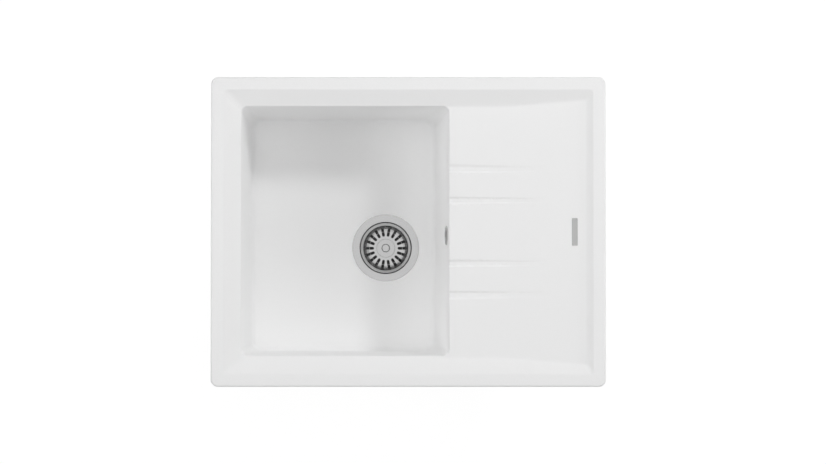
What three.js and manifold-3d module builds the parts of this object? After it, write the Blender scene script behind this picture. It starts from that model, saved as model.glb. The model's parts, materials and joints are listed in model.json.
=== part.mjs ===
// Inset kitchen sink with one bowl and a drainboard, moulded in one piece of stone composite,
// with its basket waste, overflow pipe and fixing clips. Millimetres, +Z up.
//
// Origin: on the worktop plane (the flat underside of the rim), in the middle of the front rim seat.
// +X runs right along the front edge and +Y runs to the back. The sink's own centre, from which
// everything is laid out below, lies straight behind the origin.

import * as THREE from 'three';
import { mergeVertices } from 'three/addons/utils/BufferGeometryUtils.js';
import Module from 'manifold-3d';

// ---------------------------------------------------------------- driving dimensions

// outline and rim
const sinkLength = 650;
const sinkWidth = 510;
const rimRise = 8;              // rim top above the worktop
const rimCornerRadius = 12;
const rimEdgeRadius = 3.2;      // rounding of the rim's top outer edge
const rimFlat = 20.6;           // flat land from the outer edge to the recess
const seatWidth = 12;           // flat underside that lies on the worktop

// recess and drainboard
const recessDepth = 13;         // rim top to the bowl's lip
const recessCornerRadius = 9;
const slopeWidth = 27;          // plan width of the left, back and front slopes
const endSlopeWidth = 15.2;     // plan width of the right slope at full depth
const slopeFootRadius = 9;      // corner radius at the foot of the slopes
const boardRiseLength = 129;    // the drainboard is level beside the bowl, then climbs over this length
const boardRiseEnd = 9.4;       // end of the climb to the recess's right edge
const boardRise = 5.2;
const boardRiseStart = 26;      // half the length of the soft bend at the start of the climb
const boardThickness = 9;

// drain grooves
const grooveMargin = 50;        // end of the grooves to the foot of the right slope
const grooveDepth = 2.4;
const grooveFloorWidth = 5.6;
const grooveSideWidth = 3.2;         // slanted side at the lip
const grooveFlare = 2.8;        // extra width of the two outer grooves on their outer side
const grooveEndDepth = 0.02;    // where a groove has faded out
const grooveEndWidth = 0.3;
const groovePitchInner = 104;   // between the two inner grooves
const groovePitchOuter = 207;   // between the two outer grooves

// bowl
const bowlLength = 346.7;
const bowlDepth = 190;          // lip to the edge of the floor
const bowlCornerRadius = 13;
const bowlFootRadius = 19;      // corner radius where the walls meet the floor fillet
const bowlWall = 9;
const lipRadius = 3;
const floorFillet = 10;
const floorFall = 3;            // the floor falls this much to the waste
const draftLeft = 10.4;
const draftRight = 22.7;
const draftBack = 9.3;
const draftFront = 10.1;

// skirt, ribs and bosses under the rim
const skirtDepth = 20;
const skirtThickness = 7;
const skirtDraft = 1;           // the skirt's foot is this much thinner on each side
const ribSetback = 1;           // ribs end this much above the skirt's foot
const ribThickness = 6;
const ribPitch = 150;
const bossRadius = 7;
const bossDepth = 25;

// waste: places, then the steel cup
const drainFromLip = 108;       // drain centre to the bowl's right lip
const drainForward = 21;        // drain centre in front of the middle
const drainHoleRadius = 45.5;
const drainLandRadius = 64;     // level land round the waste
const drainBossRadius = 66;
const drainBossHeight = 4;
const steel = 1;                // sheet thickness of cup and basket
const flangeRadius = 56.5;
const cupRadius = 43.8;         // inside, at the throat
const cupTaper = 1.6;
const cupDepth = 27;            // flange top to the seat of the rubber seal
const throatRadius = 24;
const throatDepth = 15;
const hubRadius = 9;
const spiderArms = 4;
const spiderArmWidth = 5;
const spiderTab = 6;            // the arms' ends are turned up this far along the throat

// basket
const basketRadius = 42;
const basketDrop = 1.6;         // basket rim below the flange top
const basketRimWidth = 3.6;
const basketDepth = 18;
const basketFloorRadius = 27;
const slotCount = 18;
const slotWidth = 3.3;
const slotInner = 20;
const slotOuter = 37;
const knobRadius = 7;
const knobHeight = 15;
const knobDiscRadius = 15;
const sealRadius = 28;
const sealThickness = 3;
const stemRadius = 3.4;
const stemClipRise = 4;         // spring clip above the stem's tip

// waste housing
const gasketThickness = 3;
const flangeGasketThickness = 0.8;
const housingWall = 3;
const housingFlangeRadius = 57;
const housingRadius = 51;
const housingDepth = 46;
const outletThreadRadius = 23.9;
const outletLength = 30;
const outletConeHeight = 16;
const outletShoulder = 2;       // collar where the outlet is welded to the housing
const screwRadius = 3;
const screwHeadRadius = 8;
const screwHeadHeight = 10;
const socketDepth = 8;
const nutRadius = 6;
const nutHeight = 14;
const inletDrop = 24;           // inlet axis below the housing's top
const inletLength = 20;
const inletShoulder = 2.4;      // collar where the inlet is welded to the housing

// overflow
const overflowDrop = 30;        // overflow centre below the lip
const overflowForward = 5;      // in front of the middle
const overflowHoleRadius = 12;
const overflowPadRadius = 23;
const overflowPad = 3;          // pad stands proud of the wall's outside
const capRadius = 16;
const capRise = 4;
const capSlots = 6;
const headRadius = 20;
const headDepth = 28;
const spigotThreadRadius = 14;
const spigotBore = 9.5;
const headSpigotLength = 38;
const overflowScrewRadius = 2.5;

// overflow hose and its unions
const hoseRadius = 11;
const hoseWall = 1.6;
const hoseCollarRadius = 13.4;
const hoseCollar = 2.5;
const hoseStraight = 16;
const hoseTopHandle = 92;       // how stiffly the hose leaves each union
const hoseBottomHandle = 120;
const unionLength = 17;
const unionWall = 3;
const unionRibs = 8;
const unionSealThickness = 2;

// fixing clips
const clipInset = 25;           // screw axis from the sink's outer edge
const clipPitch = 360;        // between the two clips of each long side
const worktopThickness = 38;
const clipScrewRadius = 2.5;
const clipHeadRadius = 5.2;
const clipHeadHeight = 3.2;
const clawReach = 24;
const clawTail = 11;
const clawWidth = 13;
const clawThickness = 1.8;
const clawLip = 7;              // upturned gripping lip
const insertRadius = 4;
const insertLength = 12;

// badge plate
const badgeLength = 46;
const badgeWidth = 10;
const badgeThickness = 1;
const badgeFromEnd = 51;        // badge centre to the sink's right end

// fits
const gap = 0.3;                // between pieces that touch on the real sink
const bite = 1;                 // overlap of forms that are joined into one piece

// smoothness of round forms
const fine = 30;
const medium = 16;
const coarse = 10;
const slight = 8;
const cornerSteps = 4;
const boardSteps = 4;
const grooveSteps = 4;
const edgeSteps = 3;
const hoseSides = 8;
const hoseSteps = 17;

// ---------------------------------------------------------------- levels and places worked out

const lipZ = rimRise - recessDepth;
const floorZ = lipZ - bowlDepth;
const boardUnderZ = lipZ - boardThickness;
const floorUnderZ = floorZ - bowlWall;
const drainZ = floorZ - floorFall;
const bossUnderZ = floorUnderZ - drainBossHeight;
const filletTopZ = floorZ + floorFillet;
const sinkCentreY = sinkWidth / 2 - seatWidth / 2;
const flangeSeatDepth = flangeGasketThickness + steel + 2 * gap;

const bowlLeftX = -sinkLength / 2 + rimFlat + slopeWidth;
const bowlRightX = bowlLeftX + bowlLength;
const bowlHalfWidth = sinkWidth / 2 - rimFlat - slopeWidth;
const drainX = bowlRightX - drainFromLip;
const drainY = -drainForward;
const overflowY = -overflowForward;
const recessRightX = sinkLength / 2 - rimFlat;
const slopeFootX = recessRightX - endSlopeWidth;
const boardTopX = recessRightX - boardRiseEnd;
const boardClimbX = boardTopX - boardRiseLength;

// ---------------------------------------------------------------- finishes

function finish(colour, roughness, metalness) {
  return new THREE.MeshStandardMaterial({ color: colour, roughness, metalness });
}
const composite = finish(0xe9e9e8, 0.55, 0);
const satinSteel = finish(0xb9bab8, 0.32, 1);
const zincSteel = finish(0xa9adb0, 0.42, 1);
const brass = finish(0xb99a55, 0.35, 1);
const blackRubber = finish(0x1f2021, 0.75, 0);
const greyPlastic = finish(0xd9dadb, 0.45, 0);

// ---------------------------------------------------------------- solids

const wasm = await Module();
wasm.setup();

function signedVolume(position, index) {
  const a = new THREE.Vector3();
  const b = new THREE.Vector3();
  const c = new THREE.Vector3();
  let volume = 0;
  for (let i = 0; i < index.length; i += 3) {
    a.fromBufferAttribute(position, index[i]);
    b.fromBufferAttribute(position, index[i + 1]);
    c.fromBufferAttribute(position, index[i + 2]);
    volume += a.dot(b.cross(c)) / 6;
  }
  return volume;
}

// a three.js geometry as a closed solid with its faces pointing out
function solid(geometry) {
  const bare = geometry.clone();
  bare.deleteAttribute('normal');
  bare.deleteAttribute('uv');
  const merged = mergeVertices(bare, 1e-4);
  const position = merged.getAttribute('position');
  const corners = merged.getIndex().array;
  const kept = [];
  for (let i = 0; i < corners.length; i += 3) {
    const [a, b, c] = [corners[i], corners[i + 1], corners[i + 2]];
    if (a !== b && b !== c && c !== a) {
      kept.push(a, b, c);
    }
  }
  if (signedVolume(position, kept) < 0) {
    kept.reverse();
  }
  return new wasm.Manifold(new wasm.Mesh({
    numProp: 3,
    vertProperties: new Float32Array(position.array),
    triVerts: new Uint32Array(kept),
  }));
}

function union(solids) {
  return solids.reduce((whole, piece) => whole.add(piece));
}

function cut(whole, cutters) {
  return cutters.reduce((rest, cutter) => rest.subtract(cutter), whole);
}

// a named mesh from a solid
function piece(name, body, material) {
  const { vertProperties, triVerts } = body.getMesh();
  const geometry = new THREE.BufferGeometry();
  geometry.setAttribute('position', new THREE.BufferAttribute(new Float32Array(vertProperties), 3));
  geometry.setIndex(Array.from(triVerts));
  geometry.computeVertexNormals();
  const mesh = new THREE.Mesh(geometry, material);
  mesh.name = name;
  return mesh;
}

// ---------------------------------------------------------------- form makers

// points of an arc in a profile: centre, radius, start and end angle in degrees
function arc(cx, cz, radius, from, to, steps) {
  const points = [];
  for (let i = 0; i <= steps; i += 1) {
    const angle = THREE.MathUtils.degToRad(from + ((to - from) * i) / steps);
    points.push([cx + radius * Math.cos(angle), cz + radius * Math.sin(angle)]);
  }
  return points;
}

// a closed [radius, height] profile turned about +Z
function turned(profile, segments) {
  const points = profile.map(([r, z]) => new THREE.Vector2(r, z));
  points.push(points[0].clone());
  return solid(new THREE.LatheGeometry(points, segments).rotateX(Math.PI / 2));
}

function cylinder(radius, bottom, top, segments, x = 0, y = 0) {
  const geometry = new THREE.CylinderGeometry(radius, radius, top - bottom, segments);
  geometry.rotateX(Math.PI / 2).translate(x, y, (top + bottom) / 2);
  return solid(geometry);
}

function box(x0, x1, y0, y1, z0, z1) {
  const geometry = new THREE.BoxGeometry(x1 - x0, y1 - y0, z1 - z0);
  geometry.translate((x0 + x1) / 2, (y0 + y1) / 2, (z0 + z1) / 2);
  return solid(geometry);
}

// the same solid moved and turned from a group's frame into the group's parent
function placed(body, group) {
  return body.transform(group.matrix.elements);
}

// a flat [x, z] outline drawn in the side view and extruded along Y between y0 and y1
function sideExtrusion(outline, y0, y1) {
  const shape = new THREE.Shape(outline.map(([x, z]) => new THREE.Vector2(x, z)));
  const geometry = new THREE.ExtrudeGeometry(shape, { depth: y1 - y0, bevelEnabled: false });
  geometry.rotateX(Math.PI / 2).translate(0, y1, 0);
  return solid(geometry);
}

// one level ring of a loft: a rectangle with round corners, the same number of points at any size
function roundedRing(x0, x1, y0, y1, radius, z) {
  const r = Math.min(radius, (x1 - x0) / 2.1, (y1 - y0) / 2.1);
  const centres = [[x1 - r, y1 - r], [x0 + r, y1 - r], [x0 + r, y0 + r], [x1 - r, y0 + r]];
  const corners = centres.map(([cx, cy], k) => arc(cx, cy, r, 90 * k, 90 * (k + 1), cornerSteps));
  const ring = [];
  corners.forEach((corner, k) => {
    corner.forEach(([x, y]) => ring.push(new THREE.Vector3(x, y, z)));
    const from = ring[ring.length - 1].clone();
    const [nextX, nextY] = corners[(k + 1) % 4][0];
    const to = new THREE.Vector3(nextX, nextY, z);
    for (let i = 1; i < edgeSteps; i += 1) {
      ring.push(from.clone().lerp(to, i / edgeSteps));
    }
  });
  return ring;
}

// a circle with one point for each point of a ring, each straight inwards from its own point
function circleRing(like, cx, cy, radius, z) {
  return like.map((point) => {
    const out = new THREE.Vector3(point.x - cx, point.y - cy, 0).setLength(radius);
    return new THREE.Vector3(cx + out.x, cy + out.y, z);
  });
}

// a closed solid through a row of convex rings with equal point counts
function loft(rings) {
  const count = rings[0].length;
  const points = rings.flat();
  const index = [];
  for (let level = 0; level + 1 < rings.length; level += 1) {
    for (let i = 0; i < count; i += 1) {
      const a = level * count + i;
      const b = level * count + ((i + 1) % count);
      index.push(a, b, b + count, a, b + count, a + count);
    }
  }
  const top = (rings.length - 1) * count;
  for (let i = 1; i + 1 < count; i += 1) {
    index.push(0, i + 1, i);
    index.push(top, top + i, top + i + 1);
  }
  const geometry = new THREE.BufferGeometry().setFromPoints(points);
  geometry.setIndex(index);
  return solid(geometry);
}

// ---------------------------------------------------------------- sink body

function sinkRing(inset, radius, z) {
  const x = sinkLength / 2 - inset;
  const y = sinkWidth / 2 - inset;
  return roundedRing(-x, x, -y, y, radius, z);
}

// a ring of the bowl: share 0 is the lip's outline, share 1 the foot of the drafted walls
function bowlRing(share, offset, radius, z) {
  return roundedRing(
    bowlLeftX + draftLeft * share + offset,
    bowlRightX - draftRight * share - offset,
    -bowlHalfWidth + draftFront * share + offset,
    bowlHalfWidth - draftBack * share - offset,
    radius,
    z,
  );
}

function rimSlab() {
  const rings = [sinkRing(0, rimCornerRadius, 0)];
  arc(rimEdgeRadius, rimRise - rimEdgeRadius, rimEdgeRadius, 180, 90, 3).forEach(([inset, z]) => {
    rings.push(sinkRing(inset, rimCornerRadius - inset, z));
  });
  return loft(rings);
}

// the tray under the recess, which drops through the worktop's cut-out
function tray() {
  const slope = slopeWidth * (boardThickness / recessDepth);
  const footInset = rimFlat + slopeWidth - slope / 3;
  return loft([
    sinkRing(footInset, bossRadius, boardUnderZ),
    sinkRing(seatWidth, bossRadius, boardUnderZ / 3),
    sinkRing(seatWidth, bossRadius, bite),
  ]);
}

function skirt() {
  const outside = loft([
    sinkRing(seatWidth + skirtDraft, bossRadius, -skirtDepth),
    sinkRing(seatWidth, bossRadius, 0),
    sinkRing(seatWidth, bossRadius, bite),
  ]);
  const inside = loft([
    sinkRing(seatWidth + skirtThickness - skirtDraft, bossRadius / 2, -skirtDepth - bite),
    sinkRing(seatWidth + skirtThickness, bossRadius / 2, 2 * bite),
  ]);
  return outside.subtract(inside);
}

function boardRibs() {
  const left = bowlRightX;
  const right = sinkLength / 2 - seatWidth - skirtThickness / 2;
  const back = sinkWidth / 2 - seatWidth - skirtThickness / 2;
  const half = ribThickness / 2;
  const foot = -skirtDepth + ribSetback;
  const top = boardUnderZ + bite;
  const crossX = (left + right) / 2;
  const lengthwise = [-ribPitch / 2, ribPitch / 2].map((y) => box(left, right, y - half, y + half, foot, top));
  return [...lengthwise, box(crossX - half, crossX + half, -back, back, foot, top)];
}

// height of the drainboard's surface at x: level beside the bowl, then an even climb to the right
function boardZ(x) {
  const grade = boardRise / boardRiseLength;
  const past = x - boardClimbX;
  const inBend = (past + boardRiseStart) ** 2 / (4 * boardRiseStart);
  return lipZ + grade * (past < boardRiseStart ? inBend : past);
}

// the recess: four slopes cut down to the lip's level, with the drainboard's climb left standing
function recessCutter() {
  const steep = slopeWidth / recessDepth;
  const slopes = loft([
    roundedRing(bowlLeftX, slopeFootX, -bowlHalfWidth, bowlHalfWidth, slopeFootRadius, lipZ),
    sinkRing(rimFlat, recessCornerRadius, rimRise),
    sinkRing(rimFlat - steep * bite, recessCornerRadius, rimRise + bite),
  ]);
  const climb = [
    [boardClimbX - boardRiseStart, boardUnderZ],
    [sinkLength / 2, boardUnderZ],
    [sinkLength / 2, boardZ(boardTopX)],
    [boardTopX, boardZ(boardTopX)],
  ];
  for (let i = boardSteps; i >= 0; i -= 1) {
    const x = boardClimbX + boardRiseStart * ((2 * i) / boardSteps - 1);
    climb.push([x, boardZ(x)]);
  }
  return slopes.subtract(sideExtrusion(climb, -sinkWidth / 2, sinkWidth / 2));
}

function bowlShell() {
  const outerFillet = floorFillet + bowlWall;
  const rings = arc(0, filletTopZ, outerFillet, -90, 0, 5).map(([reach, z]) => (
    bowlRing(1, outerFillet - reach - bowlWall, bowlFootRadius + reach - floorFillet, z)
  ));
  const outside = lipRadius - bowlWall;
  rings.push(bowlRing(0, outside, bowlCornerRadius - outside, lipZ - lipRadius));
  rings.push(bowlRing(0, outside, bowlCornerRadius - outside, lipZ - bite));
  return loft(rings);
}

function bowlCutter() {
  const floorEdge = bowlRing(1, floorFillet, bowlFootRadius - floorFillet, floorZ);
  const rings = [circleRing(floorEdge, drainX, drainY, drainLandRadius, drainZ), floorEdge];
  arc(0, filletTopZ, floorFillet, -90, 0, 5).slice(1).forEach(([reach, z]) => {
    rings.push(bowlRing(1, floorFillet - reach, bowlFootRadius - floorFillet + reach, z));
  });
  arc(0, lipZ - lipRadius, lipRadius, 0, 90, 3).forEach(([reach, z]) => {
    rings.push(bowlRing(0, reach, bowlCornerRadius - reach, z));
  });
  rings.push(bowlRing(0, 0, bowlCornerRadius, lipZ + bite));
  return loft(rings);
}

// a drain groove: full depth where it opens into the bowl, fading out along the drainboard
function grooveCutter(y, flareSide) {
  const startX = bowlRightX - 2 * lipRadius;
  const length = slopeFootX - grooveMargin - startX;
  const half = grooveFloorWidth / 2;
  const above = 2 * bite;
  const sections = [];
  for (let i = 0; i <= grooveSteps; i += 1) {
    const share = i / grooveSteps;
    const x = startX + length * share;
    const depth = Math.max(grooveDepth * (1 - share), grooveEndDepth);
    const side = grooveSideWidth * (1 - share) + grooveEndWidth;
    const flare = grooveFlare * (1 - share);
    const rise = (depth + above) / grooveDepth;
    const left = half + (side + (flareSide < 0 ? flare : 0)) * rise;
    const right = half + (side + (flareSide > 0 ? flare : 0)) * rise;
    const z = boardZ(x);
    sections.push([
      new THREE.Vector3(x, y - left, z + above),
      new THREE.Vector3(x, y - half, z - depth),
      new THREE.Vector3(x, y + half, z - depth),
      new THREE.Vector3(x, y + right, z + above),
    ]);
  }
  return loft(sections);
}

// where each fixing clip's screw stands, and which way is out from the sink
const sideX = sinkLength / 2 - clipInset;
const sideY = sinkWidth / 2 - clipInset;
const clipPlaces = [
  { x: -clipPitch / 2, y: -sideY, outward: -90 },
  { x: clipPitch / 2, y: -sideY, outward: -90 },
  { x: sideX, y: 0, outward: 0 },
  { x: clipPitch / 2, y: sideY, outward: 90 },
  { x: -clipPitch / 2, y: sideY, outward: 90 },
  { x: -sideX, y: 0, outward: 180 },
];

// the overflow stands square to the drafted right wall: its own +Z points into the bowl
const wallAngle = Math.atan2(draftRight - lipRadius, lipZ - lipRadius - filletTopZ);
const overflowX = bowlRightX - lipRadius - (overflowDrop - lipRadius) * Math.tan(wallAngle);
const overflowFrame = new THREE.Group();
overflowFrame.position.set(overflowX, overflowY, lipZ - overflowDrop);
overflowFrame.rotation.set(0, -Math.PI / 2 + wallAngle, 0);
overflowFrame.updateMatrix();
const padBack = -bowlWall - overflowPad;

// badge place on the climbing drainboard
const badgeX = sinkLength / 2 - badgeFromEnd;
const badgeSlope = Math.atan2(boardZ(badgeX + badgeWidth / 2) - boardZ(badgeX - badgeWidth / 2), badgeWidth);
const badgeFrame = new THREE.Group();
badgeFrame.position.set(badgeX, 0, boardZ(badgeX));
badgeFrame.rotation.set(0, -badgeSlope, 0);
badgeFrame.updateMatrix();

function sinkBody() {
  const bosses = clipPlaces.map(({ x, y }) => (
    cylinder(bossRadius, -bossDepth, boardUnderZ / 2, coarse, x, y)
  ));
  const insertHoles = clipPlaces.map(({ x, y }) => (
    cylinder(insertRadius + gap, -bossDepth - bite, -bossDepth + insertLength + 2 * gap, coarse, x, y)
  ));
  const drainBoss = cylinder(drainBossRadius, bossUnderZ, floorUnderZ + bite, fine, drainX, drainY);
  const overflowPadSolid = placed(
    cylinder(overflowPadRadius, padBack, -bowlWall / 2, medium),
    overflowFrame,
  );
  const whole = union([
    rimSlab(), tray(), skirt(), ...boardRibs(), bowlShell(), ...bosses, drainBoss, overflowPadSolid,
  ]);
  const grooves = [-1, 1].flatMap((side) => [
    grooveCutter((side * groovePitchInner) / 2, 0),
    grooveCutter((side * groovePitchOuter) / 2, side),
  ]);
  const drainHole = cylinder(drainHoleRadius, bossUnderZ - bite, drainZ + bite, fine, drainX, drainY);
  const flangeSeat = cylinder(flangeRadius + 2 * gap, drainZ - flangeSeatDepth, drainZ + bite, fine,
    drainX, drainY);
  const overflowHole = placed(
    cylinder(overflowHoleRadius, padBack - bite, bowlWall, medium),
    overflowFrame,
  );
  const badgeSeat = placed(
    box(-badgeWidth / 2 - gap, badgeWidth / 2 + gap, -badgeLength / 2 - gap, badgeLength / 2 + gap,
      -badgeThickness / 2 - gap, bite),
    badgeFrame,
  );
  return cut(whole, [
    recessCutter(), bowlCutter(), ...grooves, drainHole, flangeSeat, overflowHole, badgeSeat, ...insertHoles,
  ]);
}

// ---------------------------------------------------------------- badge plate

function badgePlate() {
  const halfWidth = badgeWidth / 2;
  const halfLength = badgeLength / 2;
  const half = badgeThickness / 2;
  return loft([
    roundedRing(-halfWidth, halfWidth, -halfLength, halfLength, 1, -half),
    roundedRing(-halfWidth, halfWidth, -halfLength, halfLength, 1, half),
  ]);
}

// ---------------------------------------------------------------- waste: heights from the flange top

const seatZ = -cupDepth;                                // where the rubber seal closes
const spiderZ = seatZ - throatDepth;                    // underside of the spider
const spiderTopZ = spiderZ + 2 * steel;
const flangeGasketZ = -steel - gap;
const sinkUnderZ = bossUnderZ - drainZ;
const housingTopZ = sinkUnderZ - gasketThickness - 2 * gap;
const housingFootZ = housingTopZ - housingDepth;
const outletTopZ = housingFootZ - outletConeHeight;
const outletEndZ = outletTopZ - outletLength;
const inletZ = housingTopZ - inletDrop;
const screwHeadZ = spiderTopZ + gap;
const screwTopZ = screwHeadZ + screwHeadHeight;
const nutTopZ = housingFootZ + gap;
const nutBottomZ = nutTopZ - nutHeight;
const alongX = new THREE.Matrix4().makeRotationY(Math.PI / 2).elements;

const basketRimZ = -basketDrop;
const basketFloorZ = basketRimZ - basketDepth;
const sealBottomZ = seatZ + gap;
const sealTopZ = sealBottomZ + sealThickness;
const stemTipZ = screwTopZ - socketDepth + 1;

function strainerFlange() {
  const lower = cupRadius - cupTaper;
  const turn = 3;
  const profile = [
    [flangeRadius, -steel],
    ...arc(flangeRadius - steel * 0.7, -steel * 0.7, steel * 0.7, 0, 90, 1),
    ...arc(cupRadius + turn, -turn, turn, 90, 180, 2),
    ...arc(lower - turn, seatZ + turn, turn, 0, -90, 2),
    [throatRadius + steel, seatZ],
    [throatRadius, seatZ - steel],
    [throatRadius, spiderZ],
    [throatRadius + steel, spiderZ],
    [throatRadius + steel, seatZ - steel],
    ...arc(lower - turn, seatZ + turn, turn + steel, -90, 0, 2),
    ...arc(cupRadius + turn, -turn, turn - steel, 180, 90, 2),
  ];
  return turned(profile, fine);
}

// the cross in the cup's throat that the clamping screw pulls down on
function cupSpider() {
  const reach = throatRadius - gap;
  const half = spiderArmWidth / 2;
  const tabTop = spiderZ + spiderTab;
  const arms = [];
  for (let i = 0; i < spiderArms; i += 1) {
    const angle = (360 / spiderArms) * (i + 0.5);
    arms.push(box(0, throatRadius, -half, half, spiderZ, spiderTopZ).rotate([0, 0, angle]));
    arms.push(box(reach - steel, throatRadius, -half, half, spiderZ, tabTop).rotate([0, 0, angle]));
  }
  const hub = cylinder(hubRadius, spiderZ, spiderTopZ, medium);
  const hole = cylinder(screwRadius + gap, spiderZ - bite, spiderTopZ + bite, coarse);
  const inThroat = cylinder(reach, spiderZ - bite, tabTop + bite, fine);
  return union([...arms, hub]).intersect(inThroat).subtract(hole);
}

function ring(inner, outer, bottom, top, segments) {
  return turned([[inner, bottom], [outer, bottom], [outer, top], [inner, top]], segments);
}

function clampingScrew() {
  const bore = stemRadius + 1.5;
  const chamfer = 0.8;
  const tipZ = nutBottomZ - 2;
  return turned([
    [0, tipZ],
    [screwRadius - chamfer, tipZ],
    [screwRadius, tipZ + chamfer],
    [screwRadius, screwHeadZ],
    [screwHeadRadius, screwHeadZ],
    [screwHeadRadius, screwTopZ - chamfer],
    [screwHeadRadius - chamfer, screwTopZ],
    [bore, screwTopZ],
    [bore, screwTopZ - socketDepth],
    [0, screwTopZ - socketDepth],
  ], coarse);
}

function wasteHousing() {
  const inside = housingRadius - housingWall;
  const bore = outletThreadRadius - housingWall;
  const turn = 8;
  const outer = turned([
    [0, housingTopZ],
    [housingFlangeRadius, housingTopZ],
    [housingFlangeRadius, housingTopZ - housingWall - 1],
    [housingRadius, housingTopZ - housingWall - 4],
    ...arc(housingRadius - turn, housingFootZ + turn, turn, 0, -50, 2),
    [outletThreadRadius + outletShoulder, outletTopZ],
    [0, outletTopZ],
  ], fine);
  const cavity = turned([
    [0, housingTopZ + bite],
    [inside, housingTopZ + bite],
    ...arc(inside - turn, housingFootZ + turn, turn, 0, -50, 2),
    [bore, outletTopZ],
    [bore, outletTopZ - bite],
    [0, outletTopZ - bite],
  ], fine);
  const hub = cylinder(nutRadius + housingWall, nutBottomZ - housingWall, nutTopZ, medium);
  const armTop = nutTopZ - 2;
  const arms = [0, 90].map((angle) => (
    box(-inside, inside, -housingWall / 2, housingWall / 2, nutBottomZ, armTop).rotate([0, 0, angle + 45])
  ));
  const inletHole = cylinder(spigotThreadRadius + gap, inside / 2, housingRadius + bite, medium)
    .transform(alongX)
    .translate([0, 0, inletZ]);
  const hollow = cavity.subtract(union([hub, ...arms]));
  const nutPocket = cylinder(nutRadius + gap, nutBottomZ - gap, nutTopZ + bite, coarse);
  const screwHole = cylinder(screwRadius + 2 * gap, nutBottomZ - 2 * housingWall, nutTopZ, coarse);
  return cut(outer, [hollow, inletHole, nutPocket, screwHole]);
}

// the threaded outlet, welded to the foot of the housing's cone
function housingOutlet() {
  const bore = outletThreadRadius - housingWall;
  const top = outletTopZ - gap;
  return turned([
    [bore, top],
    [bore, outletEndZ],
    [outletThreadRadius, outletEndZ],
    [outletThreadRadius, top - 2 * outletShoulder],
    [outletThreadRadius + outletShoulder, top - outletShoulder],
    [outletThreadRadius + outletShoulder, top],
  ], medium);
}

// the threaded inlet for the overflow, set through the housing's wall
function housingInlet() {
  const start = housingRadius - housingWall + gap;
  const collar = housingRadius + gap;
  const end = housingRadius + inletLength;
  return turned([
    [spigotBore, start],
    [spigotThreadRadius, start],
    [spigotThreadRadius, collar],
    [spigotThreadRadius + inletShoulder, collar],
    [spigotThreadRadius, collar + inletShoulder],
    [spigotThreadRadius, end],
    [spigotBore, end],
  ], medium).transform(alongX).translate([0, 0, inletZ]);
}

// ---------------------------------------------------------------- basket

function strainerBasket() {
  const hole = stemRadius + gap;
  const turn = 2.4;
  const wallTop = basketRadius - basketRimWidth;
  const sheet = (offset) => [
    ...arc(wallTop + offset, basketRimZ - turn, turn - offset, 90, 150, 2),
    ...arc(basketFloorRadius - turn, basketFloorZ + turn, turn + offset, -30, -90, 2),
  ];
  const profile = [
    [basketRadius - steel, basketRimZ],
    ...sheet(0),
    [hole, basketFloorZ],
    [hole, basketFloorZ - steel],
    ...sheet(steel).reverse(),
    [basketRadius - steel, basketRimZ - steel],
    [basketRadius - steel, basketRimZ - 2 * steel],
    [basketRadius, basketRimZ - 2 * steel],
    [basketRadius, basketRimZ - steel],
  ];
  const slots = [];
  for (let i = 0; i < slotCount; i += 1) {
    const half = slotWidth / 2;
    const shape = new THREE.Shape([
      ...arc(slotInner + half, 0, half, 270, 90, 2),
      ...arc(slotOuter - half, 0, half, 90, -90, 2),
    ].map(([x, y]) => new THREE.Vector2(x, y)));
    const depth = basketDepth + 2 * steel;
    const geometry = new THREE.ExtrudeGeometry(shape, { depth, bevelEnabled: false });
    geometry.translate(0, 0, basketFloorZ - 2 * steel).rotateZ((2 * Math.PI * i) / slotCount);
    slots.push(solid(geometry));
  }
  return cut(turned(profile, 2 * slotCount), slots);
}

function basketKnob() {
  const bottom = basketFloorZ + gap;
  const top = bottom + knobHeight;
  const neck = knobRadius * 0.62;
  const disc = 1.6;
  return turned([
    [stemRadius + gap, bottom],
    [knobDiscRadius - 0.6, bottom],
    [knobDiscRadius, bottom + 0.6],
    [knobDiscRadius - 0.6, bottom + disc],
    [neck + 1.5, bottom + disc + 0.6],
    [neck, bottom + disc + 3],
    [neck, top - 6],
    [knobRadius, top - 4],
    ...arc(knobRadius - 1.5, top - 1.5, 1.5, 0, 90, 3),
    [0, top],
    [0, top - 6],
    [stemRadius + gap, top - 6],
  ], medium);
}

function basketStem() {
  const under = basketFloorZ - steel - gap;
  const knobTop = basketFloorZ + gap + knobHeight;
  const collar = 10;
  const lowerCollar = stemRadius + 2.6;
  const groove = stemRadius - 0.6;
  return turned([
    [0, knobTop - 6 - gap],
    [stemRadius, knobTop - 6 - gap],
    [stemRadius, under],
    [collar, under],
    [collar, sealTopZ + gap],
    [stemRadius, sealTopZ + gap],
    [stemRadius, sealBottomZ - gap],
    [lowerCollar, sealBottomZ - gap],
    [lowerCollar, sealBottomZ - gap - 1.4],
    [stemRadius, sealBottomZ - gap - 1.4],
    [stemRadius, stemTipZ + stemClipRise + 1.6],
    [groove, stemTipZ + stemClipRise + 1.6],
    [groove, stemTipZ + stemClipRise - 0.6],
    [stemRadius, stemTipZ + stemClipRise - 0.6],
    [stemRadius, stemTipZ + 1],
    [stemRadius - 1, stemTipZ],
    [0, stemTipZ],
  ], coarse);
}

function stemClip() {
  const inner = stemRadius - gap;
  const clip = ring(inner, stemRadius + 1, stemTipZ + stemClipRise, stemTipZ + stemClipRise + 1, coarse);
  return clip.subtract(box(0, 2 * stemRadius, -1.5, 1.5, stemTipZ, 0));
}

function basketSeal() {
  const edge = sealThickness * 0.45;
  return turned([
    [stemRadius + gap, sealBottomZ],
    [sealRadius - 1.5, sealBottomZ],
    [sealRadius, sealBottomZ + edge],
    [sealRadius - 0.8, sealBottomZ + 2 * edge],
    [stemRadius + 12, sealTopZ],
    [stemRadius + gap, sealTopZ],
  ], fine);
}

// ---------------------------------------------------------------- overflow: +Z into the bowl, +X up the wall

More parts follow.
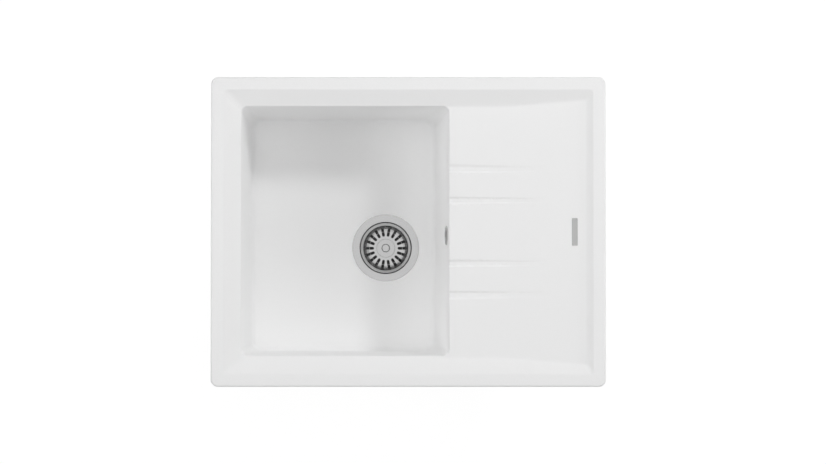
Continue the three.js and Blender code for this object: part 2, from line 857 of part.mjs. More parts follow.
const overflowGasketZ = padBack - gap;
const headTopZ = overflowGasketZ - gasketThickness - gap;
const headBackZ = headTopZ - headDepth;
const spigotZ = headTopZ - headDepth / 2;

function overflowCap() {
  const dome = (capRadius * capRadius + capRise * capRise) / (2 * capRise);
  const spread = THREE.MathUtils.radToDeg(Math.asin(capRadius / dome));
  const dimple = overflowScrewRadius + 2;
  const foot = gap;
  const profile = [
    [capRadius, foot],
    ...arc(0, foot + capRise - dome, dome, 90 - spread, 90 - spread * 0.33, 3),
    [dimple, foot + capRise - 1.4],
    [overflowScrewRadius + gap, foot + capRise - 2],
    [overflowScrewRadius + gap, foot + capRise - 3],
    [dimple + 1, foot + capRise - 3],
    ...arc(0, foot + capRise - dome - steel, dome, 90 - spread * 0.4, 90 - spread * 0.85, 2),
    [capRadius - steel, foot],
  ];
  const slots = [];
  for (let i = 0; i < capSlots; i += 1) {
    const angle = (360 / capSlots) * (i + 0.5);
    slots.push(box(capRadius * 0.55, capRadius * 0.82, -1.2, 1.2, 0, 2 * capRise).rotate([0, 0, angle]));
  }
  return cut(turned(profile, medium), slots);
}

function overflowScrew() {
  const top = capRise;
  const head = overflowScrewRadius + 2;
  return turned([
    [0, headBackZ + 5],
    [overflowScrewRadius, headBackZ + 5],
    [overflowScrewRadius, top - 1.6],
    [head - 0.4, top - 0.9],
    [head - 0.6, top - 0.2],
    [head - 1.6, top + 0.2],
    [0, top + 0.4],
  ], coarse);
}

function overflowHead() {
  const shell = cylinder(headRadius, headBackZ, headTopZ, medium);
  const alongX = new THREE.Matrix4().makeRotationY(-Math.PI / 2).elements;
  const spigot = cylinder(spigotThreadRadius, headRadius / 2, headSpigotLength, medium)
    .transform(alongX).translate([0, 0, spigotZ]);
  const bore = cylinder(spigotBore, 0, headSpigotLength + bite, medium)
    .transform(alongX).translate([0, 0, spigotZ]);
  const inside = cylinder(headRadius - housingWall, headBackZ + housingWall, headTopZ + bite, medium);
  const hub = cylinder(overflowScrewRadius + housingWall, headBackZ, headTopZ - 8, coarse);
  const hole = cylinder(overflowScrewRadius + gap, headBackZ + housingWall, headTopZ, coarse);
  return cut(shell.add(spigot), [inside.subtract(hub), bore.subtract(hub), hole]);
}

// ---------------------------------------------------------------- overflow hose and its unions

// a union stands on a spigot's end face at z = 0 and the hose leaves it along +Z
const hoseStartZ = unionSealThickness + 2 * gap;
const unionTopZ = hoseStartZ + hoseCollar + gap + unionWall;

function unionGroup(origin, direction) {
  const group = new THREE.Group();
  group.position.copy(origin);
  group.quaternion.setFromUnitVectors(new THREE.Vector3(0, 0, 1), direction);
  group.updateMatrix();
  return group;
}

function inOverflow(x, y, z) {
  return new THREE.Vector3(x, y, z).applyMatrix4(overflowFrame.matrix);
}
const topUnion = unionGroup(
  inOverflow(-headSpigotLength, 0, spigotZ),
  new THREE.Vector3(-1, 0, 0).transformDirection(overflowFrame.matrix),
);
const bottomUnion = unionGroup(
  new THREE.Vector3(drainX + housingRadius + inletLength, drainY, drainZ + inletZ),
  new THREE.Vector3(1, 0, 0),
);

function unionNut() {
  const inner = spigotThreadRadius + gap;
  const outer = inner + unionWall;
  const bottom = unionTopZ - unionLength;
  const body = turned([
    [inner, bottom],
    [outer, bottom],
    [outer, unionTopZ - 1.5],
    [outer - 1.5, unionTopZ],
    [hoseRadius + 2 * gap, unionTopZ],
    [hoseRadius + 2 * gap, unionTopZ - unionWall],
    [inner, unionTopZ - unionWall],
  ], 2 * unionRibs);
  const ribs = [];
  for (let i = 0; i < unionRibs; i += 1) {
    const rib = box(outer - bite, outer + 1.4, -1.3, 1.3, bottom + 1, unionTopZ - 3);
    ribs.push(rib.rotate([0, 0, (360 / unionRibs) * i]));
  }
  return union([body, ...ribs]);
}

function polygon(radius, sides) {
  const points = arc(0, 0, radius, 0, 360 - 360 / sides, sides - 1);
  return points.map(([x, y]) => new THREE.Vector2(x, y));
}

function overflowHose() {
  const along = (group, z) => new THREE.Vector3(0, 0, z).applyMatrix4(group.matrix);
  const start = along(topUnion, hoseStartZ);
  const leave = along(topUnion, hoseStartZ + hoseStraight);
  const end = along(bottomUnion, hoseStartZ);
  const arrive = along(bottomUnion, hoseStartZ + hoseStraight);
  const bend = new THREE.CubicBezierCurve3(
    leave,
    along(topUnion, hoseStartZ + hoseStraight + hoseTopHandle),
    along(bottomUnion, hoseStartZ + hoseStraight + hoseBottomHandle),
    arrive,
  );
  const route = [start, start.clone().lerp(leave, 0.5), ...bend.getPoints(16),
    arrive.clone().lerp(end, 0.5), end];
  const shape = new THREE.Shape(polygon(hoseRadius, hoseSides));
  shape.holes.push(new THREE.Path(polygon(hoseRadius - hoseWall, hoseSides)));
  const tube = solid(new THREE.ExtrudeGeometry(shape, {
    steps: hoseSteps,
    bevelEnabled: false,
    extrudePath: new THREE.CatmullRomCurve3(route),
  }));
  const collar = ring(hoseRadius - bite, hoseCollarRadius, hoseStartZ, hoseStartZ + hoseCollar, coarse);
  return union([tube, placed(collar, topUnion), placed(collar, bottomUnion)]);
}

// ---------------------------------------------------------------- fixing clips: z = 0 is the boss's end

const clawLipTopZ = bossDepth - worktopThickness - 1;
const clawZ = clawLipTopZ - clawLip;

function clipInsert() {
  return ring(clipScrewRadius + gap, insertRadius, 0, insertLength, slight);
}

function clipScrew() {
  const headTop = clawZ - gap;
  const headBottom = headTop - clipHeadHeight;
  return turned([
    [0, headBottom],
    [clipHeadRadius - 1, headBottom],
    [clipHeadRadius, headBottom + 1],
    [clipHeadRadius, headTop],
    [clipScrewRadius, headTop],
    [clipScrewRadius, insertLength - 2],
    [0, insertLength - 2],
  ], slight);
}

// a pressed claw: a flat strap with a turned-up heel and a toothed lip that bites the worktop
function clipClaw() {
  const t = clawThickness;
  const heel = clawLip * 0.6;
  const strap = sideExtrusion([
    [-clawTail, heel],
    [-clawTail, 1],
    [-clawTail + 1, 0],
    [clawReach - 1, 0],
    [clawReach, 1],
    [clawReach, clawLip],
    [clawReach - t, clawLip - 1],
    [clawReach - t, t + 0.6],
    [clawReach - t - 0.6, t],
    [-clawTail + t + 0.6, t],
    [-clawTail + t, t + 0.6],
    [-clawTail + t, heel],
  ], -clawWidth / 2, clawWidth / 2);
  const hole = cylinder(clipScrewRadius + 0.4, -bite, t + bite, coarse);
  const tooth = clawWidth / 5;
  const notches = [-1, 1].map((side) => box(
    clawReach - 2 * t,
    clawReach + bite,
    side * tooth - tooth / 2,
    side * tooth + tooth / 2,
    clawLip - 2.2,
    clawLip + bite,
  ));
  return cut(strap, [hole, ...notches]).translate([0, 0, clawZ]);
}

// ---------------------------------------------------------------- assembly

const sink = new THREE.Group();
sink.position.set(0, sinkCentreY, 0);
sink.add(piece('sink_body', sinkBody(), composite));

badgeFrame.add(piece('badge_plate', badgePlate(), satinSteel));
sink.add(badgeFrame);

const waste = new THREE.Group();
waste.position.set(drainX, drainY, drainZ);
waste.add(
  piece('strainer_flange', strainerFlange(), satinSteel),
  piece('cup_spider', cupSpider(), satinSteel),
  piece('flange_gasket', ring(cupRadius + 3.6, flangeRadius - gap, flangeGasketZ - flangeGasketThickness,
    flangeGasketZ, medium), blackRubber),
  piece('housing_gasket', ring(drainHoleRadius + 2, housingFlangeRadius - 1,
    sinkUnderZ - gap - gasketThickness, sinkUnderZ - gap, medium), blackRubber),
  piece('waste_housing', wasteHousing(), greyPlastic),
  piece('housing_outlet', housingOutlet(), greyPlastic),
  piece('housing_inlet', housingInlet(), greyPlastic),
  piece('housing_nut', ring(screwRadius + gap, nutRadius, nutBottomZ, nutTopZ, coarse), brass),
  piece('clamping_screw', clampingScrew(), satinSteel),
  piece('strainer_basket', strainerBasket(), satinSteel),
  piece('basket_knob', basketKnob(), satinSteel),
  piece('basket_stem', basketStem(), satinSteel),
  piece('basket_seal', basketSeal(), blackRubber),
  piece('stem_clip', stemClip(), satinSteel),
);
sink.add(waste);

overflowFrame.add(
  piece('overflow_cap', overflowCap(), satinSteel),
  piece('overflow_screw', overflowScrew(), satinSteel),
  piece('overflow_gasket', ring(overflowHoleRadius + 1, headRadius, overflowGasketZ - gasketThickness,
    overflowGasketZ, medium), blackRubber),
  piece('overflow_head', overflowHead(), greyPlastic),
);
sink.add(overflowFrame);

const unionSeal = ring(spigotBore, hoseCollarRadius, gap, gap + unionSealThickness, coarse);
[[topUnion, 'top'], [bottomUnion, 'bottom']].forEach(([group, end]) => {
  group.add(piece(`hose_nut_${end}`, unionNut(), greyPlastic));
  group.add(piece(`hose_seal_${end}`, unionSeal, blackRubber));
  sink.add(group);
});
sink.add(piece('overflow_hose', overflowHose(), greyPlastic));

clipPlaces.forEach(({ x, y, outward }, i) => {
  const clip = new THREE.Group();
  clip.position.set(x, y, -bossDepth);
  const parked = new THREE.Group();
  parked.rotation.z = THREE.MathUtils.degToRad(outward - 90);
  parked.add(piece(`clip_${i + 1}_claw`, clipClaw(), zincSteel));
  clip.add(
    piece(`clip_${i + 1}_insert`, clipInsert(), brass),
    piece(`clip_${i + 1}_screw`, clipScrew(), zincSteel),
    parked,
  );
  sink.add(clip);
});

const part = new THREE.Group();
part.name = 'kitchen_sink';
part.add(sink);

export default part;
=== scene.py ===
"""Dressed model of an inset kitchen sink: a composite bowl and drainboard with its waste and fixings.

All lengths are metres in the sink's own frame. The origin lies on the worktop plane, in the middle of
the front rim seat. +X runs right along the front edge, +Y to the back and +Z up.
"""

import json
import logging
import math
from dataclasses import dataclass, field
from enum import Enum
from functools import cache
from typing import Sequence

import bmesh
import bpy
import numpy as np
from mathutils import Matrix, Vector
from mathutils.geometry import delaunay_2d_cdt

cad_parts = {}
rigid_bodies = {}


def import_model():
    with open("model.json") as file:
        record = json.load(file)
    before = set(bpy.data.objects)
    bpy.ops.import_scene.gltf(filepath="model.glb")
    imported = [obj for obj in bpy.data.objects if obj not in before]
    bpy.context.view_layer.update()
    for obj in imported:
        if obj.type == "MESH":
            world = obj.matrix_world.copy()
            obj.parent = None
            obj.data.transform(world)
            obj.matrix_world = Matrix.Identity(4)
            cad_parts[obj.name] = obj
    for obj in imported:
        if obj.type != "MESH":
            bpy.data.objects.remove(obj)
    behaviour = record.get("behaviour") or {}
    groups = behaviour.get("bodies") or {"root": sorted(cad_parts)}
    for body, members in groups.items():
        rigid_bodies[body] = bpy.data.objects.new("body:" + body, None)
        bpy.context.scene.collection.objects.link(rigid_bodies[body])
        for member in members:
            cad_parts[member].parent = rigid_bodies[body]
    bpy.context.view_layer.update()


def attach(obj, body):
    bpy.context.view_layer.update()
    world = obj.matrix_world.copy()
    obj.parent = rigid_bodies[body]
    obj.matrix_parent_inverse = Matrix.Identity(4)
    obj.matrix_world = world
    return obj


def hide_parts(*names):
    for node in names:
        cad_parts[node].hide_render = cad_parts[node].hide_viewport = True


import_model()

Point = tuple[float, float]
Band = tuple[float, float, float]
Ring = np.ndarray
LOG = logging.getLogger("sink")

MM = 0.001
# The sink's centre lies this many metres behind the middle of the front rim seat. Pieces are drawn in
# millimetres, and PLACED takes them from that centre into the sink's frame.
SINK_CENTRE_Y = 0.249
PLACED = Matrix.Translation((0.0, SINK_CENTRE_Y, 0.0)) @ Matrix.Scale(MM, 4)
# The waste stands on the drain's axis, with its zero at the floor round the drain.
DRAIN = (-38.7, -21.0)
WASTE_AT = Matrix.Translation((*DRAIN, -198.0))
# Seen from the waste, the overflow inlet runs out to the right.
INLET_AT = Matrix.Translation((0.0, 0.0, -37.6)) @ Matrix.Rotation(math.pi / 2, 4, "Y")
# The bowl's right wall leans by 19.7 mm over 177 mm, and the overflow stands square to it.
WALL_ANGLE = math.atan2(19.7, 177.0)
OVERFLOW_AT = Matrix.Translation((63.295, -5.0, -35.0)) @ Matrix.Rotation(WALL_ANGLE - math.pi / 2, 4, "Y")


# ---------------------------------------------------------------- colours and nodes


def linear(colour: str) -> tuple[float, float, float, float]:
    """Turn an sRGB hex colour into linear light.

    Args:
        colour: six hex digits with a leading hash.

    Returns:
        Red, green, blue and an alpha of one.
    """
    values = [int(colour[i : i + 2], 16) / 255 for i in (1, 3, 5)]
    light = [v / 12.92 if v <= 0.04045 else ((v + 0.055) / 1.055) ** 2.4 for v in values]
    return (light[0], light[1], light[2], 1.0)


def add_node(
    tree: bpy.types.NodeTree, kind: str, feeds: dict | None = None, **settings: object
) -> bpy.types.Node:
    """Add one node with its settings, values and links.

    Args:
        tree: the node tree that gets the node.
        kind: the node's type name.
        feeds: input name or number to a plain value or to the output socket that feeds it.
        **settings: properties of the node itself.

    Returns:
        The new node.
    """
    node = tree.nodes.new(kind)
    for name, value in settings.items():
        setattr(node, name, value)
    for name, value in (feeds or {}).items():
        if isinstance(value, bpy.types.NodeSocket):
            tree.links.new(value, node.inputs[name])
        else:
            node.inputs[name].default_value = value
    return node


def blank_material(name: str) -> tuple[bpy.types.Material, bpy.types.NodeTree]:
    """Make an empty node material.

    Args:
        name: the finish's name.

    Returns:
        The material and its cleared node tree.
    """
    material = bpy.data.materials.new(name)
    material.use_nodes = True
    material.node_tree.nodes.clear()
    return material, material.node_tree


# ---------------------------------------------------------------- finishes


@dataclass(frozen=True)
class Composite:
    """White quartz and resin composite, cast against a fine matt mould: even, slightly soft to the light.

    Its quartz sand lies just under the resin's skin, darker and paler grains that barely show in the white.
    Each sort of grain has the noise at which it starts, the noise at which it is full, and its strength.
    """

    colour: str = "#FAFAFA"
    grain_colour: str = "#F1F1F1"
    glint_colour: str = "#FDFDFD"
    dark_grain: tuple[float, float, float] = (0.56, 0.68, 0.5)
    pale_grain: tuple[float, float, float] = (0.44, 0.32, 0.6)
    grain_size: float = 0.7 * MM
    skin_size: float = 0.35 * MM
    skin_height: float = 0.05 * MM
    skin_strength: float = 0.12
    roughness: float = 0.46

    def build(self) -> bpy.types.Material:
        """Build the material with its quartz grain under the resin's skin.

        Returns:
            The material.
        """
        material, tree = blank_material("moulded_quartz_composite")
        place = add_node(tree, "ShaderNodeTexCoord").outputs["Object"]
        grain = add_node(
            tree, "ShaderNodeTexNoise", {"Vector": place, "Scale": 1 / self.grain_size, "Detail": 2.0}
        ).outputs["Fac"]
        tint = linear(self.colour)
        sorts = ((self.grain_colour, self.dark_grain), (self.glint_colour, self.pale_grain))
        for colour, (first, full, strength) in sorts:
            ends = {"From Min": first, "From Max": full, "To Min": 0.0, "To Max": strength}
            share = add_node(tree, "ShaderNodeMapRange", {"Value": grain, **ends}).outputs["Result"]
            feeds = {0: share, 6: tint, 7: linear(colour)}
            tint = add_node(tree, "ShaderNodeMix", feeds, data_type="RGBA").outputs[2]
        skin = add_node(
            tree, "ShaderNodeTexNoise", {"Vector": place, "Scale": 1 / self.skin_size, "Detail": 1.0}
        ).outputs["Fac"]
        bump = add_node(
            tree,
            "ShaderNodeBump",
            {"Height": skin, "Strength": self.skin_strength, "Distance": self.skin_height},
        )
        shader = add_node(
            tree,
            "ShaderNodeBsdfPrincipled",
            {"Base Color": tint, "Roughness": self.roughness, "IOR": 1.5, "Normal": bump.outputs["Normal"]},
        )
        add_node(tree, "ShaderNodeOutputMaterial", {"Surface": shader.outputs["BSDF"]})
        return material


class Lay(Enum):
    """Which way the fine polishing lines of a metal run."""

    TURNED = "round the drain's axis"
    STRAIGHT = "along one direction"
    NONE = "pressed, with no lay"


@dataclass(frozen=True)
class Metal:
    """A bare metal whose polishing lines give soft streaked highlights.

    Real lines lie nearer 0.05 mm apart. These are drawn coarser, so that they show. Handling leaves broader
    clouds, and the two together spread the roughness about its middle value.
    """

    name: str
    colour: str
    roughness: float
    lay: Lay = Lay.NONE
    line_spacing: float = 0.35 * MM
    line_height: float = 0.004 * MM
    line_strength: float = 0.5
    line_stretch: float = 0.02
    cloud_size: float = 16.667 * MM
    cloud_ends: tuple[float, float] = (0.1, 0.45)
    spread: tuple[float, float] = (0.85, 1.2)
    centre: tuple[float, float, float] = (0.0, 0.0, 0.0)

    @cache
    def build(self) -> bpy.types.Material:
        """Build the metal with its lay as fine bump and a slight change of roughness.

        Returns:
            The material.
        """
        material, tree = blank_material(self.name)
        coordinate = add_node(tree, "ShaderNodeTexCoord").outputs["Object"]
        feeds = {"Vector": coordinate, "Location": tuple(-c for c in self.centre)}
        shifted = add_node(tree, "ShaderNodeMapping", feeds).outputs["Vector"]
        if self.lay is Lay.TURNED:
            level = {0: shifted, 1: (1.0, 1.0, 0.0)}
            flat = add_node(tree, "ShaderNodeVectorMath", level, operation="MULTIPLY")
            radius = add_node(tree, "ShaderNodeVectorMath", {0: flat.outputs[0]}, operation="LENGTH")
            place = add_node(tree, "ShaderNodeCombineXYZ", {"X": radius.outputs["Value"]}).outputs["Vector"]
        elif self.lay is Lay.STRAIGHT:
            drawn_out = {0: shifted, 1: (1.0, self.line_stretch, 1.0)}
            place = add_node(tree, "ShaderNodeVectorMath", drawn_out, operation="MULTIPLY").outputs[0]
        else:
            place = shifted
        lines = add_node(
            tree, "ShaderNodeTexNoise", {"Vector": place, "Scale": 1 / self.line_spacing, "Detail": 2.0}
        ).outputs["Fac"]
        clouds = add_node(
            tree, "ShaderNodeTexNoise", {"Vector": shifted, "Scale": 1 / self.cloud_size, "Detail": 3.0}
        ).outputs["Fac"]
        mixed = add_node(tree, "ShaderNodeMath", {0: lines, 1: clouds}, operation="MULTIPLY").outputs[0]
        low, high = self.cloud_ends
        smooth, dull = (self.roughness * share for share in self.spread)
        ends = {"From Min": low, "From Max": high, "To Min": smooth, "To Max": dull}
        rough = add_node(tree, "ShaderNodeMapRange", {"Value": mixed, **ends}).outputs["Result"]
        bump = add_node(
            tree,
            "ShaderNodeBump",
            {"Height": lines, "Strength": self.line_strength, "Distance": self.line_height},
        )
        shader = add_node(
            tree,
            "ShaderNodeBsdfPrincipled",
            {
                "Base Color": linear(self.colour),
                "Metallic": 1.0,
                "Roughness": rough,
                "Normal": bump.outputs["Normal"],
            },
        )
        add_node(tree, "ShaderNodeOutputMaterial", {"Surface": shader.outputs["BSDF"]})
        return material


@dataclass(frozen=True)
class Moulding:
    """A moulded polymer: the mould's fine texture breaks its highlight and its colour drifts a little.

    A real mould's texture is nearer 0.1 mm. It is drawn coarser, so that it shows.
    """

    name: str
    colour: str
    drift_colour: str
    roughness: float
    texture_size: float = 0.5 * MM
    texture_height: float = 0.02 * MM
    texture_strength: float = 0.4
    drift_size: float = 22.222 * MM
    spread: tuple[float, float] = (0.9, 1.1)

    @cache
    def build(self) -> bpy.types.Material:
        """Build the polymer from its two close colours and the mould's texture.

        Returns:
            The material.
        """
        material, tree = blank_material(self.name)
        place = add_node(tree, "ShaderNodeTexCoord").outputs["Object"]
        drift = add_node(
            tree, "ShaderNodeTexNoise", {"Vector": place, "Scale": 1 / self.drift_size, "Detail": 3.0}
        ).outputs["Fac"]
        shades = {6: linear(self.colour), 7: linear(self.drift_colour)}
        colour = add_node(tree, "ShaderNodeMix", {0: drift, **shades}, data_type="RGBA").outputs[2]
        skin = add_node(
            tree, "ShaderNodeTexNoise", {"Vector": place, "Scale": 1 / self.texture_size, "Detail": 2.0}
        ).outputs["Fac"]
        bump = add_node(
            tree,
            "ShaderNodeBump",
            {"Height": skin, "Strength": self.texture_strength, "Distance": self.texture_height},
        )
        smooth, dull = (self.roughness * share for share in self.spread)
        rough = add_node(tree, "ShaderNodeMapRange", {"Value": drift, "To Min": smooth, "To Max": dull})
        shader = add_node(
            tree,
            "ShaderNodeBsdfPrincipled",
            {
                "Base Color": colour,
                "Roughness": rough.outputs["Result"],
                "IOR": 1.49,
                "Normal": bump.outputs["Normal"],
            },
        )
        add_node(tree, "ShaderNodeOutputMaterial", {"Surface": shader.outputs["BSDF"]})
        return material


# EPDM rubber, moulded: near black, with a dull sheen where it curves.
BLACK_RUBBER = Moulding("black_rubber", "#1B1B1C", "#242425", 0.55, 0.3 * MM, 0.03 * MM)
# Polypropylene, moulded: a milky grey white with broad soft highlights.
PLAIN_PLASTIC = Moulding("grey_white_plastic", "#DAD9D5", "#D2D1CC", 0.42)


# ---------------------------------------------------------------- mesh makers


def arc(cx: float, cz: float, radius: float, start: float, end: float, steps: int) -> list[Point]:
    """List the points of an arc.

    Args:
        cx: first coordinate of the centre.
        cz: second coordinate of the centre.
        radius: radius.
        start: first angle in degrees.
        end: last angle in degrees.
        steps: number of steps.

    Returns:
        The points, both ends included.
    """
    angles = np.radians(np.linspace(start, end, steps + 1))
    return [(cx + radius * math.cos(a), cz + radius * math.sin(a)) for a in angles]


def oblong(left: float, right: float, low: float, high: float) -> list[Point]:
    """List the corners of a rectangle, such as half a rod's or half a ring's section.

    Args:
        left: its left side, the inner radius of a ring and 0 for a rod.
        right: its right side, the outer radius.
        low: its lower side.
        high: its upper side.

    Returns:
        The corners.
    """
    return [(left, low), (right, low), (right, high), (left, high)]


def rounded(profile: Sequence[Point], radius: float, steps: int = 3, closed: bool = True) -> list[Point]:
    """Round the corners of a flat outline.

    Args:
        profile: corner points in order.
        radius: fillet radius, made smaller where an edge is too short for it.
        steps: steps in each fillet.
        closed: whether the last point joins the first.

    Returns:
        The outline with a fillet at each corner.
    """
    points = [Vector((p[0], p[1])) for p in profile]
    count = len(points)
    result: list[Point] = []
    for i, corner in enumerate(points):
        if not closed and i in (0, count - 1):
            result.append((corner.x, corner.y))
            continue
        before = points[i - 1] - corner
        after = points[(i + 1) % count] - corner
        turn = before.angle(after) if before.length > 1e-9 and after.length > 1e-9 else math.pi
        if turn > math.radians(172):
            result.append((corner.x, corner.y))
            continue
        reach = min(radius / math.tan(turn / 2), before.length * 0.45, after.length * 0.45)
        a = corner + before.normalized() * reach
        b = corner + after.normalized() * reach
        for k in range(steps + 1):
            t = k / steps
            p = a * (1 - t) ** 2 + corner * 2 * t * (1 - t) + b * t**2
            result.append((p.x, p.y))
    return result


def finish_piece(
    name: str, mesh: bpy.types.Mesh, material: bpy.types.Material, body: str, crease: float = 35.0
) -> None:
    """Put a finished mesh into the scene, where it stands for the solid of its name.

    Args:
        name: the piece's name.
        mesh: its mesh, in place.
        material: its finish.
        body: the moving body that it rides on.
        crease: edges sharper than this many degrees stay sharp.
    """
    mesh.name = name
    mesh.materials.clear()
    mesh.materials.append(material)
    for polygon in mesh.polygons:
        polygon.use_smooth = True
    mesh.set_sharp_from_angle(angle=math.radians(crease))
    piece = bpy.data.objects.new(name, mesh)
    bpy.context.scene.collection.objects.link(piece)
    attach(piece, body)
    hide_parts(name)
    LOG.info("%s: %d faces on %s", name, len(mesh.polygons), body)


def mesh_of(bm: bmesh.types.BMesh, name: str, weld: float = 1e-6) -> bpy.types.Mesh:
    """Close a working mesh into mesh data with its faces pointing out.

    Args:
        bm: the working mesh, which is freed.
        name: the name of the mesh data.
        weld: points closer than this are merged.

    Returns:
        The mesh data.
    """
    bmesh.ops.remove_doubles(bm, verts=bm.verts, dist=weld)
    bmesh.ops.recalc_face_normals(bm, faces=bm.faces)
    mesh = bpy.data.meshes.new(name)
    bm.to_mesh(mesh)
    bm.free()
    return mesh


def turned(profile: Sequence[Point], segments: int, centre: Vector) -> bmesh.types.BMesh:
    """Turn a closed outline about an upright axis.

    Args:
        profile: radius and height pairs that close on themselves.
        segments: steps round the axis.
        centre: where the axis stands.

    Returns:
        A working mesh of the turned body.
    """
    bm = bmesh.new()
    rings = []
    for radius, height in profile:
        if radius < 1e-7:
            rings.append([bm.verts.new((0, 0, height))] * segments)
            continue
        rings.append(
            [
                bm.verts.new((radius * math.cos(a), radius * math.sin(a), height))
                for a in (2 * math.pi * k / segments for k in range(segments))
            ]
        )
    for i, ring in enumerate(rings):
        nxt = rings[(i + 1) % len(rings)]
        for k in range(segments):
            corners = [ring[k], ring[(k + 1) % segments], nxt[(k + 1) % segments], nxt[k]]
            unique = list(dict.fromkeys(corners))
            if len(unique) > 2:
                bm.faces.new(unique)
    bmesh.ops.transform(bm, matrix=Matrix.Translation(centre), verts=bm.verts)
    return bm


def joined(parts: Sequence[bpy.types.Mesh], name: str) -> bpy.types.Mesh:
    """Join several meshes into one, each a shell of its own.

    Args:
        parts: the meshes, which are removed.
        name: the name of the joined mesh.

    Returns:
        The joined mesh data.
    """
    bm = bmesh.new()
    for part in parts:
        bm.from_mesh(part)
        bpy.data.meshes.remove(part)
    mesh = bpy.data.meshes.new(name)
    bm.to_mesh(mesh)
    bm.free()
    return mesh


def combined(base: bpy.types.Mesh, others: Sequence[bpy.types.Mesh], operation: str) -> bpy.types.Mesh:
    """Join or cut a closed mesh with others by a boolean modifier.

    Args:
        base: the mesh that is worked on.
        others: closed meshes, which are removed.
        operation: UNION or DIFFERENCE.

    Returns:
        The resulting mesh data.
    """
    scene = bpy.context.scene.collection
    work = bpy.data.objects.new("work", base)
    scene.objects.link(work)
    helpers = []
    for other in others:
        helper = bpy.data.objects.new("helper", other)
        scene.objects.link(helper)
        helpers.append(helper)
        modifier = work.modifiers.new("form", "BOOLEAN")
        modifier.operation = operation
        modifier.solver = "MANIFOLD"
        modifier.object = helper
    graph = bpy.context.evaluated_depsgraph_get()
    result = bpy.data.meshes.new_from_object(work.evaluated_get(graph))
    for helper in helpers:
        data = helper.data
        bpy.data.objects.remove(helper)
        bpy.data.meshes.remove(data)
    bpy.data.objects.remove(work)
    bpy.data.meshes.remove(base)
    return result


def block(low: Sequence[float], high: Sequence[float]) -> bpy.types.Mesh:
    """Make a closed box between two corners, as a cutter or a rib.

    Args:
        low: lowest corner.
        high: highest corner.

    Returns:
        The mesh data.
    """
    bm = bmesh.new()
    bmesh.ops.create_cube(bm, size=1.0)
    size = Vector(high) - Vector(low)
    middle = (Vector(high) + Vector(low)) / 2
    place = Matrix.Translation(middle) @ Matrix.Diagonal((*size, 1.0))
    bmesh.ops.transform(bm, matrix=place, verts=bm.verts)
    return mesh_of(bm, "block")


def cross_recess(reach: float, half: float, low: float, high: float) -> list[bpy.types.Mesh]:
    """Make the two cutters of the cross in a screw's head.

    Args:
        reach: how far each arm runs out.
        half: half its width.
        low: the cutters' lower end.
        high: their upper end.

    Returns:
        The mesh data of both.
    """
    return [block((-x, -y, low), (x, y, high)) for x, y in ((reach, half), (half, reach))]


def machined(
    outline: Sequence[Point],
    segments: int,
    soften: float,
    adds: Sequence[bpy.types.Mesh] = (),
    cuts: Sequence[bpy.types.Mesh] = (),
) -> bpy.types.Mesh:
    """Turn an outline about +Z, soften its corners, then add and cut other forms.

    Args:
        outline: radius and height pairs; an open outline starts and ends on the axis.
        segments: steps round the axis.
        soften: radius of the broken corners.
        adds: closed meshes joined to the turned form.
        cuts: closed meshes cut from the result.

    Returns:
        The mesh data, in the units of the outline.
    """
    on_axis = outline[0][0] == 0 and outline[-1][0] == 0
    shape = rounded(outline, soften, 3, not on_axis) if soften else outline
    mesh = mesh_of(turned(shape, segments, Vector()), "form")
    if adds:
        mesh = combined(mesh, adds, "UNION")
    if cuts:
        mesh = combined(mesh, cuts, "DIFFERENCE")
    return mesh


def extruded(outline: Sequence[Point], low: float, high: float, bevel: float = 0.0) -> bpy.types.Mesh:
    """Extrude an outline in x and z along y, and break its long edges.

    Args:
        outline: x and z pairs.
        low: first y.
        high: last y.
        bevel: width of the broken edges.

    Returns:
        The mesh data.
    """
    bm = bmesh.new()
    first = [bm.verts.new((x, low, z)) for x, z in outline]
    last = [bm.verts.new((x, high, z)) for x, z in outline]
    caps = [bm.faces.new(first), bm.faces.new(last[::-1])]
    for k in range(len(first)):
        nxt = (k + 1) % len(first)
        bm.faces.new((first[k], last[k], last[nxt], first[nxt]))
    bmesh.ops.recalc_face_normals(bm, faces=bm.faces)
    if bevel:
        edges = [edge for cap in caps for edge in cap.edges]
        shape = {"offset": bevel, "segments": 2, "profile": 0.5, "affect": "EDGES", "clamp_overlap": True}
        bmesh.ops.bevel(bm, geom=edges, **shape)
    return mesh_of(bm, "extruded")


def moved(mesh: bpy.types.Mesh, *turns: Matrix) -> bpy.types.Mesh:
    """Move a mesh by the product of some matrices.

    Args:
        mesh: the mesh data, which is changed.
        *turns: the matrices, the outermost first.

    Returns:
        The same mesh data.
    """
    whole = Matrix.Identity(4)
    for turn in turns:
        whole = whole @ turn
    mesh.transform(whole)
    return mesh


def stood_up(mesh: bpy.types.Mesh) -> bpy.types.Mesh:
    """Turn a mesh a quarter about +X, so that its extrusion along y runs up +Z."""
    return moved(mesh, Matrix.Rotation(math.pi / 2, 4, "X"))


def slot_cutter(inner: float, outer: float, width: float, low: float, high: float) -> bpy.types.Mesh:
    """Make a cutter for one slot with round ends that runs out along +X.

    Args:
        inner: where the slot starts.
        outer: where it ends.
        width: its width.
        low: the cutter's lower end.
        high: the cutter's upper end.

    Returns:
        The mesh data.
    """
    half = width / 2
    ends = arc(inner + half, 0, half, 270, 90, 8) + arc(outer - half, 0, half, 90, -90, 8)
    return stood_up(extruded(ends, low, high))


# ---------------------------------------------------------------- Geometry Nodes


